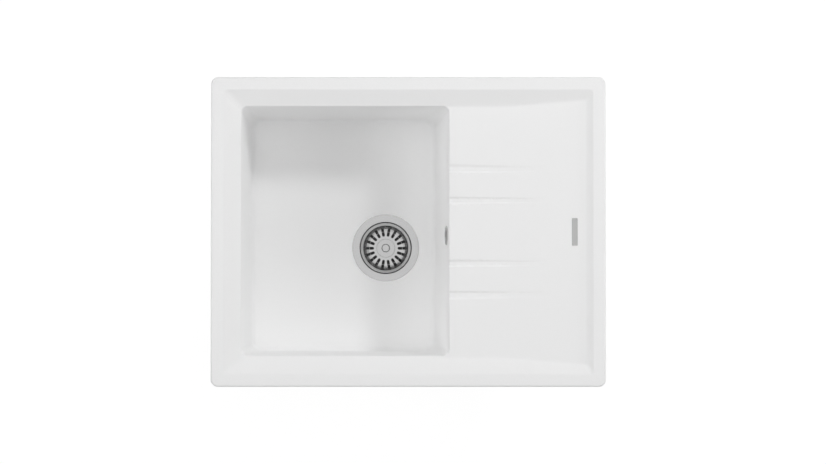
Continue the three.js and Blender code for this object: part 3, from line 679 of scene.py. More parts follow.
def new_tree(
    name: str, sizes: dict[str, float | int]
) -> tuple[bpy.types.NodeTree, bpy.types.Node, bpy.types.Node]:
    """Start a geometry tree with a mesh input and named sizes.

    Args:
        name: the tree's name.
        sizes: input name to its default; whole numbers become integer inputs.

    Returns:
        The tree, its group input node and its group output node.
    """
    tree = bpy.data.node_groups.new(name, "GeometryNodeTree")
    face = tree.interface
    face.new_socket("Geometry", in_out="INPUT", socket_type="NodeSocketGeometry")
    face.new_socket("Geometry", in_out="OUTPUT", socket_type="NodeSocketGeometry")
    for label, value in sizes.items():
        kind = "NodeSocketInt" if isinstance(value, int) else "NodeSocketFloat"
        face.new_socket(label, in_out="INPUT", socket_type=kind).default_value = value
    face.new_socket("Finish", in_out="INPUT", socket_type="NodeSocketMaterial")
    return tree, add_node(tree, "NodeGroupInput"), add_node(tree, "NodeGroupOutput")


def close_tree(
    tree: bpy.types.NodeTree, start: bpy.types.Node, end: bpy.types.Node, shape: bpy.types.NodeSocket
) -> None:
    """End a geometry tree in real geometry with its finish set.

    Args:
        tree: the tree.
        start: its group input node.
        end: its group output node.
        shape: the geometry that the tree made.
    """
    real = add_node(tree, "GeometryNodeRealizeInstances", {"Geometry": shape})
    dressed = add_node(
        tree, "GeometryNodeSetMaterial", {"Geometry": real.outputs[0], "Material": start.outputs["Finish"]}
    )
    tree.links.new(dressed.outputs[0], end.inputs[0])


def grow(source: bpy.types.ID, tree: bpy.types.NodeTree, **sizes: float | int) -> bpy.types.Mesh:
    """Run a geometry tree on a mesh or curve and keep what it makes.

    Args:
        source: mesh or curve data, which is removed afterwards.
        tree: the geometry tree. Its Finish stays empty here, because the whole piece is dressed at the end.
        **sizes: values for the tree's inputs, with underscores for spaces.

    Returns:
        The resulting mesh data.
    """
    work = bpy.data.objects.new("work", source)
    bpy.context.scene.collection.objects.link(work)
    modifier = work.modifiers.new("grow", "NODES")
    modifier.node_group = tree
    keys = {item.name: item.identifier for item in tree.interface.items_tree if item.in_out == "INPUT"}
    for label, value in sizes.items():
        modifier[keys[label.replace("_", " ")]] = value
    graph = bpy.context.evaluated_depsgraph_get()
    result = bpy.data.meshes.new_from_object(work.evaluated_get(graph))
    work.modifiers.remove(modifier)
    bpy.data.objects.remove(work)
    if isinstance(source, bpy.types.Mesh):
        bpy.data.meshes.remove(source)
    else:
        bpy.data.curves.remove(source)
    return result


@cache
def round_pattern() -> bpy.types.NodeTree:
    """Build the tree that repeats a mesh round +Z: grip ribs, knurls, slots and teeth.

    Returns:
        The tree. Its sizes are Copies and First Angle.
    """
    tree, start, end = new_tree("round_pattern", {"Copies": 8, "First Angle": 0.0})
    given = start.outputs
    points = add_node(tree, "GeometryNodePoints", {"Count": given["Copies"]})
    number = add_node(tree, "GeometryNodeInputIndex").outputs[0]
    share = add_node(tree, "ShaderNodeMath", {0: number, 1: given["Copies"]}, operation="DIVIDE").outputs[0]
    line = {0: share, 1: 2 * math.pi, 2: given["First Angle"]}
    angle = add_node(tree, "ShaderNodeMath", line, operation="MULTIPLY_ADD").outputs[0]
    turn = add_node(tree, "ShaderNodeCombineXYZ", {"Z": angle}).outputs[0]
    copies = add_node(
        tree,
        "GeometryNodeInstanceOnPoints",
        {"Points": points.outputs[0], "Instance": given["Geometry"], "Rotation": turn},
    )
    close_tree(tree, start, end, copies.outputs[0])
    return tree


def repeated(mesh: bpy.types.Mesh, copies: int, first_angle: float = 0.0) -> bpy.types.Mesh:
    """Repeat a mesh round +Z at even steps.

    Args:
        mesh: the first copy at angle zero, at its own distance from the axis.
        copies: how many there are.
        first_angle: where the first one stands, in radians.

    Returns:
        The mesh data.
    """
    return grow(mesh, round_pattern(), Copies=copies, First_Angle=first_angle)


@cache
def thread_ridge() -> bpy.types.NodeTree:
    """Build the tree that winds a thread's ridge, a closed three-sided coil, up +Z from z = 0.

    Returns:
        The tree. Its sizes are Turns, Radius, Height and Ridge.
    """
    sizes = {"Turns": 8.0, "Radius": 0.003, "Height": 0.01, "Ridge": 0.0005}
    tree, start, end = new_tree("thread_ridge", sizes)
    given = start.outputs
    coil = add_node(
        tree,
        "GeometryNodeCurveSpiral",
        {
            "Resolution": 20,
            "Rotations": given["Turns"],
            "Start Radius": given["Radius"],
            "End Radius": given["Radius"],
            "Height": given["Height"],
        },
    )
    section = add_node(tree, "GeometryNodeCurvePrimitiveCircle", {"Resolution": 4, "Radius": given["Ridge"]})
    ridge = add_node(
        tree,
        "GeometryNodeCurveToMesh",
        {"Curve": coil.outputs[0], "Profile Curve": section.outputs[0], "Fill Caps": True},
    )
    close_tree(tree, start, end, ridge.outputs[0])
    return tree


def spiral(turns: float, radius: float, height: float, ridge: float, foot: float) -> bpy.types.Mesh:
    """Wind a thread's ridge, in millimetres.

    Args:
        turns: number of turns.
        radius: radius of the thread's core.
        height: length of the thread.
        ridge: how far the ridge stands out.
        foot: where the thread starts.

    Returns:
        The mesh data.
    """
    blank = bpy.data.meshes.new("blank")
    ridge_mesh = grow(blank, thread_ridge(), Turns=turns, Radius=radius, Height=height, Ridge=ridge)
    return moved(ridge_mesh, Matrix.Translation((0, 0, foot)))


def corrugated_pipe() -> bpy.types.NodeTree:
    """Build the tree that turns a path into a corrugated pipe with smooth cuffs at both ends.

    Returns:
        The tree. Its sizes are Pipe Radius, Pitch, Depth, Cuff, Cuff End, Squareness, Steps and Sides.
    """
    sizes = {"Pipe Radius": 0.01, "Pitch": 0.004, "Depth": 0.001, "Cuff": 0.014, "Cuff End": 0.018}
    tree, start, end = new_tree("corrugated_pipe", {**sizes, "Squareness": 2.2, "Steps": 400, "Sides": 32})
    given = start.outputs
    route = given["Geometry"]
    path = add_node(tree, "GeometryNodeResampleCurve", {"Curve": route, "Count": given["Steps"]})
    along = add_node(tree, "GeometryNodeSplineParameter").outputs["Length"]
    whole = add_node(tree, "GeometryNodeCurveLength", {"Curve": route}).outputs[0]
    left = add_node(tree, "ShaderNodeMath", {0: whole, 1: along}, operation="SUBTRACT").outputs[0]
    nearest = add_node(tree, "ShaderNodeMath", {0: along, 1: left}, operation="MINIMUM").outputs[0]
    ends = {"From Min": given["Cuff"], "From Max": given["Cuff End"]}
    inside = add_node(tree, "ShaderNodeMapRange", {"Value": nearest, **ends}).outputs[0]
    phase = add_node(tree, "ShaderNodeMath", {0: along, 1: given["Pitch"]}, operation="DIVIDE").outputs[0]
    angle = add_node(tree, "ShaderNodeMath", {0: phase, 1: 2 * math.pi}, operation="MULTIPLY").outputs[0]
    wave = add_node(tree, "ShaderNodeMath", {0: angle}, operation="COSINE").outputs[0]
    steepened = {0: wave, 1: given["Squareness"]}
    steep = add_node(tree, "ShaderNodeMath", steepened, operation="MULTIPLY").outputs[0]
    flat = add_node(tree, "ShaderNodeMath", {0: steep}, operation="TANH").outputs[0]
    valley = add_node(tree, "ShaderNodeMath", {0: flat, 1: 0.5, 2: 0.5}, operation="MULTIPLY_ADD").outputs[0]
    depth = add_node(tree, "ShaderNodeMath", {0: valley, 1: given["Depth"]}, operation="MULTIPLY").outputs[0]
    dip = add_node(tree, "ShaderNodeMath", {0: depth, 1: inside}, operation="MULTIPLY").outputs[0]
    dipped = {0: given["Pipe Radius"], 1: dip}
    radius = add_node(tree, "ShaderNodeMath", dipped, operation="SUBTRACT").outputs[0]
    circle = {"Resolution": given["Sides"], "Radius": 1.0}
    section = add_node(tree, "GeometryNodeCurvePrimitiveCircle", circle).outputs[0]
    pipe = add_node(
        tree,
        "GeometryNodeCurveToMesh",
        {"Curve": path.outputs[0], "Profile Curve": section, "Scale": radius, "Fill Caps": True},
    )
    close_tree(tree, start, end, pipe.outputs[0])
    return tree


# ---------------------------------------------------------------- shared measures


def smooth_step(value: np.ndarray, low: float, high: float) -> np.ndarray:
    """Rise softly from 0 at low to 1 at high."""
    share = np.clip((value - low) / (high - low), 0.0, 1.0)
    return share * share * (3 - 2 * share)


def smooth_max(a: np.ndarray, b: np.ndarray, blend: float) -> np.ndarray:
    """Take the higher of two surfaces, with a fillet where they meet.

    Args:
        a: one height.
        b: the other height.
        blend: difference of height below which the fillet acts.

    Returns:
        The blended height.
    """
    near = np.maximum(blend - np.abs(a - b), 0.0) / blend
    return np.maximum(a, b) + near * near * blend / 4


def smooth_min(a: np.ndarray, b: np.ndarray, blend: float) -> np.ndarray:
    """Take the lower of two surfaces, with a rounded edge where they meet."""
    return -smooth_max(-a, -b, blend)


def stations(low: float, high: float, step: float, bands: Sequence[Band]) -> np.ndarray:
    """Space coordinates along a line, closer together inside some bands.

    Args:
        low: first coordinate.
        high: last coordinate.
        step: spacing outside the bands.
        bands: start, end and spacing of each band.

    Returns:
        The coordinates in order.
    """
    cuts = sorted({low, high, *(edge for band in bands for edge in band[:2] if low < edge < high)})
    places = [low]
    for start, end in zip(cuts, cuts[1:]):
        middle = (start + end) / 2
        spacing = min([step, *(fine for a, b, fine in bands if a <= middle <= b)])
        count = max(1, math.ceil((end - start) / spacing))
        places.extend(start + (end - start) * k / count for k in range(1, count + 1))
    return np.array(places)


def rounded_distance(x: np.ndarray, y: np.ndarray, box: Sequence[float], radius: float) -> np.ndarray:
    """Distance to a rectangle with round corners, negative inside it.

    Args:
        x: first coordinates.
        y: second coordinates.
        box: left, right, front and back sides.
        radius: corner radius.

    Returns:
        The signed distances.
    """
    left, right, front, back = box
    across = np.abs(x - (left + right) / 2) - (right - left) / 2 + radius
    along = np.abs(y - (front + back) / 2) - (back - front) / 2 + radius
    outside = np.hypot(np.maximum(across, 0), np.maximum(along, 0))
    return np.minimum(np.maximum(across, along), 0) + outside - radius


def within(points: np.ndarray, outline: np.ndarray) -> np.ndarray:
    """Tell which points lie inside a closed outline.

    Args:
        points: x and y of each point.
        outline: x and y of the outline's corners in order.

    Returns:
        True for each point inside.
    """
    x, y = points[:, 0:1], points[:, 1:2]
    ax, ay = outline[:, 0], outline[:, 1]
    bx, by = np.roll(ax, -1), np.roll(ay, -1)
    spans = (ay > y) != (by > y)
    rise = np.where(by == ay, 1.0, by - ay)
    crossings = spans & (x < (bx - ax) * (y - ay) / rise + ax)
    return crossings.sum(axis=1) % 2 == 1


# ---------------------------------------------------------------- the moulded body


@dataclass
class Groove:
    """A drain groove: full depth where it opens into the bowl, fading out along the drainboard."""

    middle: float
    # How much wider the mouth's outer side runs out than its inner one. Its sign tells which side that is.
    flare: float
    length: float = 170.0
    depth: float = 2.4
    half_floor: float = 2.8
    side: float = 3.2
    least_side: float = 0.8
    reach: float = 10.0

    def depth_at(self, x: np.ndarray, y: np.ndarray, lip: float) -> np.ndarray:
        """Give the groove's depth below the drainboard.

        Args:
            x: places along the groove, in millimetres.
            y: places across it.
            lip: where the groove opens into the bowl.

        Returns:
            The depths, zero away from the groove.
        """
        left_over = np.clip(1 - (x - lip) / self.length, 0.0, 1.0)
        across = y - self.middle
        outward = np.sign(across) == np.sign(self.flare)
        side = self.side * left_over + np.where(outward, abs(self.flare) * left_over, 0.0) + self.least_side
        ramp = 1 - smooth_step((np.abs(across) - self.half_floor) / side, 0.0, 1.0)
        return self.depth * left_over * ramp


@dataclass
class SinkBody:
    """The bowl and the drainboard, cast in one piece. Its sizes are millimetres from the sink's centre."""

    finish: Composite = field(default_factory=Composite)
    length: float = 650.0
    width: float = 510.0
    rim_rise: float = 8.0
    corner: float = 12.0
    edge: float = 3.2
    rim_flat: float = 20.6
    seat: float = 12.0
    recess_depth: float = 13.0
    slope: float = 27.0
    end_slope: float = 15.2
    climb_start: float = 166.0
    climb_grade: float = 0.0403
    climb_softness: float = 26.0
    bowl_length: float = 346.7
    bowl_depth: float = 190.0
    bowl_corner: float = 13.0
    foot_corner: float = 19.0
    wall: float = 9.0
    lip: float = 2.4
    # How far each side of the lip lies along +X or +Y from its plain place: left, right, front and back.
    lip_shift: tuple[float, float, float, float] = (-0.6, 0.0, 1.2, 2.4)
    fillet: float = 10.0
    floor_fall: float = 3.0
    # How far each wall leans in down to its foot, in the same order.
    drafts: tuple[float, float, float, float] = (10.4, 22.7, 10.1, 9.3)
    drain: tuple[float, float] = DRAIN
    land: float = 64.0
    flange_seat: float = 57.0
    flange_seat_depth: float = 2.4
    drain_hole: float = 45.5
    boss: float = 66.0
    boss_height: float = 4.0
    board_thickness: float = 9.0
    skirt_depth: float = 20.0
    skirt_thickness: float = 7.0
    rib_thickness: float = 6.0
    rib_pitch: float = 150.0
    # Radius and depth.
    clip_boss: tuple[float, float] = (7.0, 25.0)
    clip_hole: tuple[float, float] = (4.3, 12.6)
    clip_inset: float = 25.0
    clip_pitch: float = 360.0
    # Round the bowl the level lies this much lower, which fades out between two distances left of the board.
    neck_fall: float = 4.0
    neck: tuple[float, float] = (45.0, 8.0)
    seat_step: float = 0.12
    # Two distances in from the lip's outline, between which the deck's slope is measured.
    lip_probe: tuple[float, float] = (0.6, 1.6)
    boss_chamfer: float = 1.5
    tray_gap: float = 7.0
    tray_corner: float = 7.0
    skirt_corner: float = 4.0
    skirt_chamfer: float = 0.8
    rim_chamfer: float = 0.4
    boss_root: float = 6.0
    bite: float = 1.0
    overflow_hole: float = 12.0
    overflow_pad: tuple[float, float] = (23.0, 12.0)
    # Spacing of the deck's mesh, and heights over which its surfaces blend.
    spacing: float = 9.0
    slope_spacing: float = 2.2
    fine_spacing: float = 0.7
    edge_band: float = 2.4
    edge_blend: float = 0.8
    corner_blend: float = 4.1
    foot_blend: float = 1.1
    end_foot_blend: float = 3.2

    def __post_init__(self) -> None:
        """Work out the levels, the bowl's outline, the grooves and the spacing of the mesh."""
        self.lip_z = self.rim_rise - self.recess_depth
        self.floor_z = self.lip_z - self.bowl_depth
        self.fillet_top = self.floor_z + self.fillet
        self.drain_z = self.floor_z - self.floor_fall
        self.under_z = self.lip_z - self.board_thickness
        self.left = -self.length / 2 + self.rim_flat + self.slope
        self.right = self.left + self.bowl_length
        self.half = self.width / 2 - self.rim_flat - self.slope
        self.recess_x = self.length / 2 - self.rim_flat
        self.recess_y = self.width / 2 - self.rim_flat
        self.grooves = [Groove(s * m, s * f) for s in (-1, 1) for m, f in ((52.0, 0.0), (103.5, 2.8))]
        straight = self.half - self.bowl_corner
        bands = [(g.middle - g.reach, g.middle + g.reach, 0.8) for g in self.grooves]
        sides = stations(-straight, straight, self.spacing, bands)
        self.side_shares = (sides[1:-1] + straight) / (2 * straight)
        self.end_shares = np.linspace(0, 1, 41)[1:-1]

    # ------------------------------------------------ surface

    def board_height(self, x: np.ndarray) -> np.ndarray:
        """Height of the drainboard: level beside the bowl, then one even climb to the right.

        Args:
            x: places across the sink.

        Returns:
            Heights above the worktop.
        """
        past = x - self.climb_start
        softened = np.where(
            np.abs(past) < self.climb_softness,
            (past + self.climb_softness) ** 2 / (4 * self.climb_softness),
            np.maximum(past, 0.0),
        )
        return self.lip_z + self.climb_grade * softened

    def deck_height(self, x: np.ndarray, y: np.ndarray) -> np.ndarray:
        """Height of the top surface from the rim down the slopes to the bowl's lip and the drainboard.

        Args:
            x: places across the sink.
            y: places front to back.

        Returns:
            Heights above the worktop.
        """
        fall = self.recess_depth / self.slope
        end_fall = self.recess_depth / self.end_slope
        left = self.rim_rise - (x + self.recess_x) * fall
        front = self.rim_rise - (y + self.recess_y) * fall
        back = self.rim_rise - (self.recess_y - y) * fall
        right = self.rim_rise - (self.recess_x - x) * end_fall
        long_sides = np.maximum(front, back)
        start, end = (self.right - gap for gap in self.neck)
        beside_bowl = self.neck_fall * (1 - smooth_step(x, start, end))
        level = self.board_height(x) - beside_bowl
        for groove in self.grooves:
            level = level - groove.depth_at(x, y, self.right)
        slopes = smooth_max(left, long_sides, self.corner_blend)
        low = smooth_max(slopes, level, self.foot_blend)
        low = smooth_max(low, right, self.end_foot_blend)
        return smooth_min(low, np.full_like(low, self.rim_rise), self.edge_blend)

    # ------------------------------------------------ rings

    def ring(self, box: Sequence[float], radius: float, z: float | np.ndarray) -> Ring:
        """Lay a ring of points along a rectangle with round corners, the same count at any size.

        Args:
            box: left, right, front and back sides.
            radius: corner radius.
            z: height, or one height for each point.

        Returns:
            The points, counter-clockwise from above.
        """
        left, right, front, back = box
        turn = np.linspace(0, math.pi / 2, 13)
        centres = (
            (right - radius, back - radius),
            (left + radius, back - radius),
            (left + radius, front + radius),
            (right - radius, front + radius),
        )
        corners = []
        for k, centre in enumerate(centres):
            angle = turn + k * math.pi / 2
            corners.append(centre + radius * np.stack([np.cos(angle), np.sin(angle)], axis=1))
        shares = (self.end_shares, 1 - self.side_shares[::-1], self.end_shares, self.side_shares)
        rows = []
        for k, share in enumerate(shares):
            start, end = corners[k][-1], corners[(k + 1) % 4][0]
            rows += [corners[k], start + (end - start) * share[:, None]]
        flat = np.concatenate(rows)
        return np.column_stack([flat, np.broadcast_to(z, len(flat))])

    def sink_ring(self, inset: float, radius: float, z: float) -> Ring:
        """Lay a ring parallel to the sink's outline."""
        x, y = self.length / 2 - inset, self.width / 2 - inset
        return self.ring((-x, x, -y, y), radius, z)

    def bowl_box(self, share: float, offset: float) -> tuple[float, float, float, float]:
        """Give the bowl's sides at some height.

        Args:
            share: 0 at the lip, 1 at the foot of the drafted walls.
            offset: how far the sides are set in.

        Returns:
            Left, right, front and back sides.
        """
        left, right, front, back = self.drafts
        shift = [side * (1 - share) for side in self.lip_shift]
        return (
            self.left + shift[0] + left * share + offset,
            self.right + shift[1] - right * share - offset,
            -self.half + shift[2] + front * share + offset,
            self.half + shift[3] - back * share - offset,
        )

    def circle(self, like: Ring, radius: float, z: float) -> Ring:
        """Lay a circle round the drain, each point straight in from its own point of another ring.

        Args:
            like: the other ring.
            radius: the circle's radius.
            z: its height.

        Returns:
            The circle's points.
        """
        out = like[:, :2] - np.array(self.drain)
        out *= radius / np.linalg.norm(out, axis=1)[:, None]
        return np.column_stack([out + np.array(self.drain), np.full(len(like), z)])

    def lip_rings(self) -> list[Ring]:
        """Roll the lip from the local slope of the deck down into the bowl's walls.

        Returns:
            Rings from the deck's edge to the top of the walls.
        """
        outline = self.ring(self.bowl_box(0, 0), self.bowl_corner, 0.0)[:, :2]
        inner = self.ring(self.bowl_box(0, self.lip), self.bowl_corner - self.lip, 0.0)[:, :2]
        inward = (inner - outline) / self.lip
        near, far = (outline + inward * probe for probe in self.lip_probe)
        slope = self.deck_height(*near.T) - self.deck_height(*far.T)
        start = np.arctan(np.clip(slope, 0.0, 1.0))
        run = np.array(self.drafts) + np.array(self.lip_shift) * (-1, 1, -1, 1) - self.lip
        side = np.where(inward[:, 0] > 0, run[0], run[1]) * inward[:, 0] ** 2
        side += np.where(inward[:, 1] > 0, run[2], run[3]) * inward[:, 1] ** 2
        end = math.pi / 2 - np.arctan(side / (self.lip_z - self.lip - self.fillet_top))
        edge = outline + inward * (self.lip * (1 - np.sin(end) + np.sin(start)))[:, None]
        top = self.deck_height(*edge.T)
        rings = []
        for share in np.linspace(0, 1, 8):
            angle = start + (end - start) * share
            reach = self.lip * (np.sin(angle) - np.sin(start))
            drop = self.lip * (np.cos(start) - np.cos(angle))
            rings.append(np.column_stack([edge + inward * reach[:, None], top - drop]))
        return rings

    def inside_rings(self, lip: Ring) -> list[Ring]:
        """Lay the rings of the bowl's walls, floor and drain seat.

        Args:
            lip: the ring at the top of the walls.

        Returns:
            Rings from below the lip to the drain hole's lower edge.
        """
        foot = self.ring(self.bowl_box(1, 0), self.foot_corner, self.fillet_top)
        rings = [lip + (foot - lip) * share for share in np.linspace(0, 1, 15)[1:]]
        for reach, z in arc(0, self.fillet_top, self.fillet, 0, -90, 10)[1:]:
            inset = self.fillet - reach
            rings.append(self.ring(self.bowl_box(1, inset), self.foot_corner - inset, z))
        edge = rings[-1]
        land = self.circle(edge, self.land, self.drain_z)
        rings += [edge + (land - edge) * share for share in np.linspace(0, 1, 9)[1:]]
        step = self.seat_step
        rings.append(self.circle(edge, self.flange_seat + step, self.drain_z))
        for reach, z in arc(self.flange_seat + step, self.drain_z - step, step, 90, 180, 3)[1:]:
            rings.append(self.circle(edge, reach, z))
        seat_z = self.drain_z - self.flange_seat_depth
        rings.append(self.circle(edge, self.flange_seat, seat_z))
        rings.append(self.circle(edge, self.drain_hole + step, seat_z))
        rings.append(self.circle(edge, self.drain_hole, seat_z - step))
        return rings

    def outside_rings(self, like: Ring) -> list[Ring]:
        """Lay the rings of the underside, from the drain hole out to the rim's lower edge.

        Args:
            like: any ring, for the directions of the round ones.

        Returns:
            Rings from the drain boss's lower edge to the foot of the rim.
        """
        floor_under = self.floor_z - self.wall
        boss_z = floor_under - self.boss_height
        chamfer = self.boss_chamfer
        rings = [self.circle(like, radius, boss_z) for radius in (self.drain_hole, self.boss - chamfer)]
        rings.append(self.circle(like, self.boss, boss_z + chamfer))
        rings.append(self.circle(like, self.boss + 1, floor_under))
        outer = self.fillet + self.wall
        for reach, z in arc(0, self.fillet_top, outer, -90, 0, 8):
            offset = outer - reach - self.wall
            rings.append(self.ring(self.bowl_box(1, offset), self.foot_corner + reach - self.fillet, z))
        top_offset = self.lip - self.wall
        top = self.ring(self.bowl_box(0, top_offset), self.bowl_corner - top_offset, self.under_z)
        foot = rings[-1]
        rings += [foot + (top - foot) * share for share in np.linspace(0, 1, 9)[1:]]
        tray_foot = self.rim_flat + self.slope - self.tray_gap
        inner = self.seat + self.skirt_thickness
        foot_z, edge = self.skirt_chamfer - self.skirt_depth, self.rim_chamfer
        profile = (
            (tray_foot, self.tray_corner, self.under_z),
            (inner, self.skirt_corner, self.under_z / 2),
            (inner - 1, self.skirt_corner, foot_z),
            (inner - 2, self.skirt_corner + 1, -self.skirt_depth),
            (self.seat + 1.8, self.tray_corner, -self.skirt_depth),
            (self.seat + 1, self.tray_corner, foot_z),
            (self.seat, self.tray_corner, 0.0),
            (edge, self.corner - edge, 0.0),
            (0.0, self.corner, edge),
        )
        rings += [self.sink_ring(*place) for place in profile]
        for inset, z in arc(self.edge, self.rim_rise - self.edge, self.edge, 180, 90, 7)[:-1]:
            rings.append(self.sink_ring(inset, self.corner - inset, z))
        return rings

    # ------------------------------------------------ mesh

    def deck_points(self, lip: np.ndarray) -> np.ndarray:
        """Spread points over the deck, dense at its edges, slopes and grooves.

        Args:
            lip: plan of the deck's inner edge, at the bowl.

        Returns:
            Plan coordinates inside the deck.
        """
        x_end, y_end = self.length / 2 - self.edge, self.width / 2 - self.edge
        coarse, sloping, fine = self.spacing, self.slope_spacing, self.fine_spacing
        edge_x = (self.recess_x - self.edge_band, self.recess_x + self.edge_band)
        edge_y = (self.recess_y - self.edge_band, self.recess_y + self.edge_band)
        left_slope = (-self.recess_x, self.left, sloping)
        right_slope = (self.recess_x - 19, self.recess_x, 0.9)
        neck = (self.right - 50, self.right + 4, 2.5)
        climb = (self.climb_start - 30, self.climb_start + 30, 5.0)
        bands_x = [(-edge_x[1], -edge_x[0], fine), (*edge_x, fine), left_slope, right_slope, neck, climb]
        feet = (self.half - 3, self.half + 14, 0.9)
        bands_y = [(*edge_y, fine), (self.half, self.recess_y, sloping), feet]
        bands_y += [(-high, -low, step) for low, high, step in bands_y]
        whole = [stations(-x_end, x_end, coarse, bands_x), stations(-y_end, y_end, coarse, bands_y)]
        grids = [np.stack(np.meshgrid(*whole), axis=-1).reshape(-1, 2)]
        mouth = (self.right - 4, self.right + 3, 1.5)
        along = stations(mouth[0], self.right + 200, 6.0, [mouth])
        for groove in self.grooves:
            across = stations(groove.middle - groove.reach, groove.middle + groove.reach, fine, [])
            grids.append(np.stack(np.meshgrid(along, across), axis=-1).reshape(-1, 2))
        points = np.unique(np.round(np.concatenate(grids), 4), axis=0)
        x, y = points.T
        # The grid keeps 0.6 mm off the outlines; the bowl's is grown by that much over half its length.
        margin, half_bowl = 0.6, 170.0
        outer = rounded_distance(x, y, (-x_end, x_end, -y_end, y_end), self.corner - self.edge) < -margin
        middle = lip.mean(axis=0)
        grown = middle + (lip - middle) * (1 + margin / half_bowl)
        return points[outer & ~within(points, grown)]

    def shell(self) -> bpy.types.Mesh:
        """Build the closed shell of deck, bowl and underside, without its ribs and holes.

        Returns:
            The mesh data, in millimetres from the sink's centre.
        """
        lip = self.lip_rings()
        bowl = lip + self.inside_rings(lip[-1])
        under = self.outside_rings(bowl[-1])
        rings = bowl + under
        rings.append(self.sink_ring(self.edge, self.corner - self.edge, self.rim_rise))
        count = len(rings[0])
        corners = np.concatenate(rings)
        faces = []
        for level in range(len(rings) - 1):
            here, below = level * count, (level + 1) * count
            for k in range(count):
                nxt = (k + 1) % count
                faces.append((here + k, here + nxt, below + nxt, below + k))
        inner, outer = rings[0][:, :2], rings[-1][:, :2]
        grid = self.deck_points(inner)
        plan = np.concatenate([inner, outer, grid])

        def loop(first: int) -> list[tuple[int, int]]:
            """List the edges that close a ring whose points start at this number."""
            return [(first + k, first + (k + 1) % count) for k in range(count)]

        found = delaunay_2d_cdt([Vector(p) for p in plan], loop(0) + loop(count), [], 0, 1e-6, True)
        triangles, origins = found[2], found[3]
        middle = np.array([plan[[origins[v][0] for v in tri]].mean(axis=0) for tri in triangles])
        on_deck = ~within(middle, inner)
        deck = np.column_stack([grid, self.deck_height(*grid.T)])
        last = (len(rings) - 1) * count
        shift = len(corners) - 2 * count

        def index(vertex: int) -> int:
            """Turn a plan point's number into the shell's."""
            number = origins[vertex][0]
            return number if number < count else number + (last - count if number < 2 * count else shift)

        faces += [tuple(index(v) for v in tri) for tri, keep in zip(triangles, on_deck) if keep]
        bm = bmesh.new()
        verts = [bm.verts.new(p) for p in np.concatenate([corners, deck])]
        for face in faces:
            bm.faces.new([verts[v] for v in face])
        return mesh_of(bm, "shell", 1e-4)

    def extras(self) -> list[bpy.types.Mesh]:
        """Build what stands on the underside: the ribs and the clip bosses.

        Returns:
            Closed meshes, in millimetres from the sink's centre.
        """
        inner = self.seat + self.skirt_thickness / 2
        foot, top = self.bite - self.skirt_depth, self.under_z + self.bite
        half = self.rib_thickness / 2
        start, end = self.right + 2 * self.bite, self.length / 2 - inner
        back = self.width / 2 - inner
        middle = (start + end) / 2
        parts = []
        for y in (-self.rib_pitch / 2, self.rib_pitch / 2):
            parts.append(block((start, y - half, foot), (end, y + half, top)))
        parts.append(block((middle - half, -back, foot), (middle + half, back, top)))
        radius, depth = self.clip_boss
        for x, y in self.clip_places():
            profile = rounded(oblong(0, radius, -depth, -self.boss_root), 0.8, 3, False)
            parts.append(mesh_of(turned(profile, 32, Vector((x, y, 0))), "boss"))
        return parts

    def clip_places(self) -> list[Point]:
        """List where the six fixing clips stand, counter-clockwise from the front left one.

        Returns:
            Their places, in millimetres from the sink's centre.
        """
        x, y = self.clip_pitch / 2, self.width / 2 - self.clip_inset
        end = self.length / 2 - self.clip_inset
        return [(-x, -y), (x, -y), (end, 0.0), (x, y), (-x, y), (-end, 0.0)]

    def build(self) -> None:
        """Build the moulded body with its ribs, bosses, pad, holes and badge pocket."""
        body = combined(self.shell(), self.extras(), "UNION")
        pad, pad_depth = self.overflow_pad
        sunk, clear = 4.0, 9.0
        ring = machined(oblong(0, pad, -pad_depth, -sunk), 64, 0.8)
        body = combined(body, [moved(ring, OVERFLOW_AT)], "UNION")
        opening = machined(oblong(0, self.overflow_hole, -pad_depth - 2, clear), 64, 0)
        cuts = [moved(opening, OVERFLOW_AT)]
        radius, length = self.clip_hole
        for x, y in self.clip_places():
            bore = machined(oblong(0, radius, -1, length), 32, 0)
            cuts.append(moved(bore, Matrix.Translation((x, y, -self.clip_boss[1]))))
        plate = BadgePlate()
        cuts.append(moved(plate.form(plate.room, plate.pocket_height), plate.at(self)))
        body = combined(body, cuts, "DIFFERENCE")
        finish_piece("sink_body", moved(body, PLACED), self.finish.build(), "sink", 28.0)


# ---------------------------------------------------------------- badge plate


@dataclass
class BadgePlate:
    """The bare brushed plate let into the drainboard's right end."""

    # Bare sheet metal brushed along its length, which draws its highlight out sideways.
    finish: Metal = Metal("brushed_plate", "#B8B8B8", 0.34, Lay.STRAIGHT)
    width: float = 9.2
    length: float = 45.2
    thickness: float = 1.0
    corner: float = 0.5
    middle_x: float = 274.2
    room: float = 0.15
    pocket_height: float = 5.0

    def form(self, room: float, rise: float) -> bpy.types.Mesh:
        """Make the plate's form, or with room round it its pocket.

        Args:
            room: clearance on every side.
            rise: how far it stands up from the plate's middle level.

        Returns:
            The mesh data, centred on the plate.
        """
        x, y, low = self.width / 2 + room, self.length / 2 + room, -self.thickness / 2 - room
        outline = rounded(oblong(-x, x, -y, y), self.corner * 2, 6)
        return stood_up(extruded(outline, low, rise, 0.0 if room else 0.3))

    def at(self, sink: SinkBody) -> Matrix:
        """Place the plate on the climbing drainboard.

        Args:
            sink: the body that it lies in.

        Returns:
            The plate's place, in millimetres from the sink's centre.
        """
        height = float(sink.board_height(np.array(self.middle_x)))
        lean = Matrix.Rotation(-math.atan(sink.climb_grade), 4, "Y")
        return Matrix.Translation((self.middle_x, 0, height)) @ lean

    def build(self, sink: SinkBody) -> None:
        """Build the plate in its pocket.

        Args:
            sink: the body that it lies in.
        """
        plate = moved(self.form(0.0, self.thickness / 2), PLACED, self.at(sink))
        finish_piece("badge_plate", plate, self.finish.build(), "sink")


# ---------------------------------------------------------------- waste


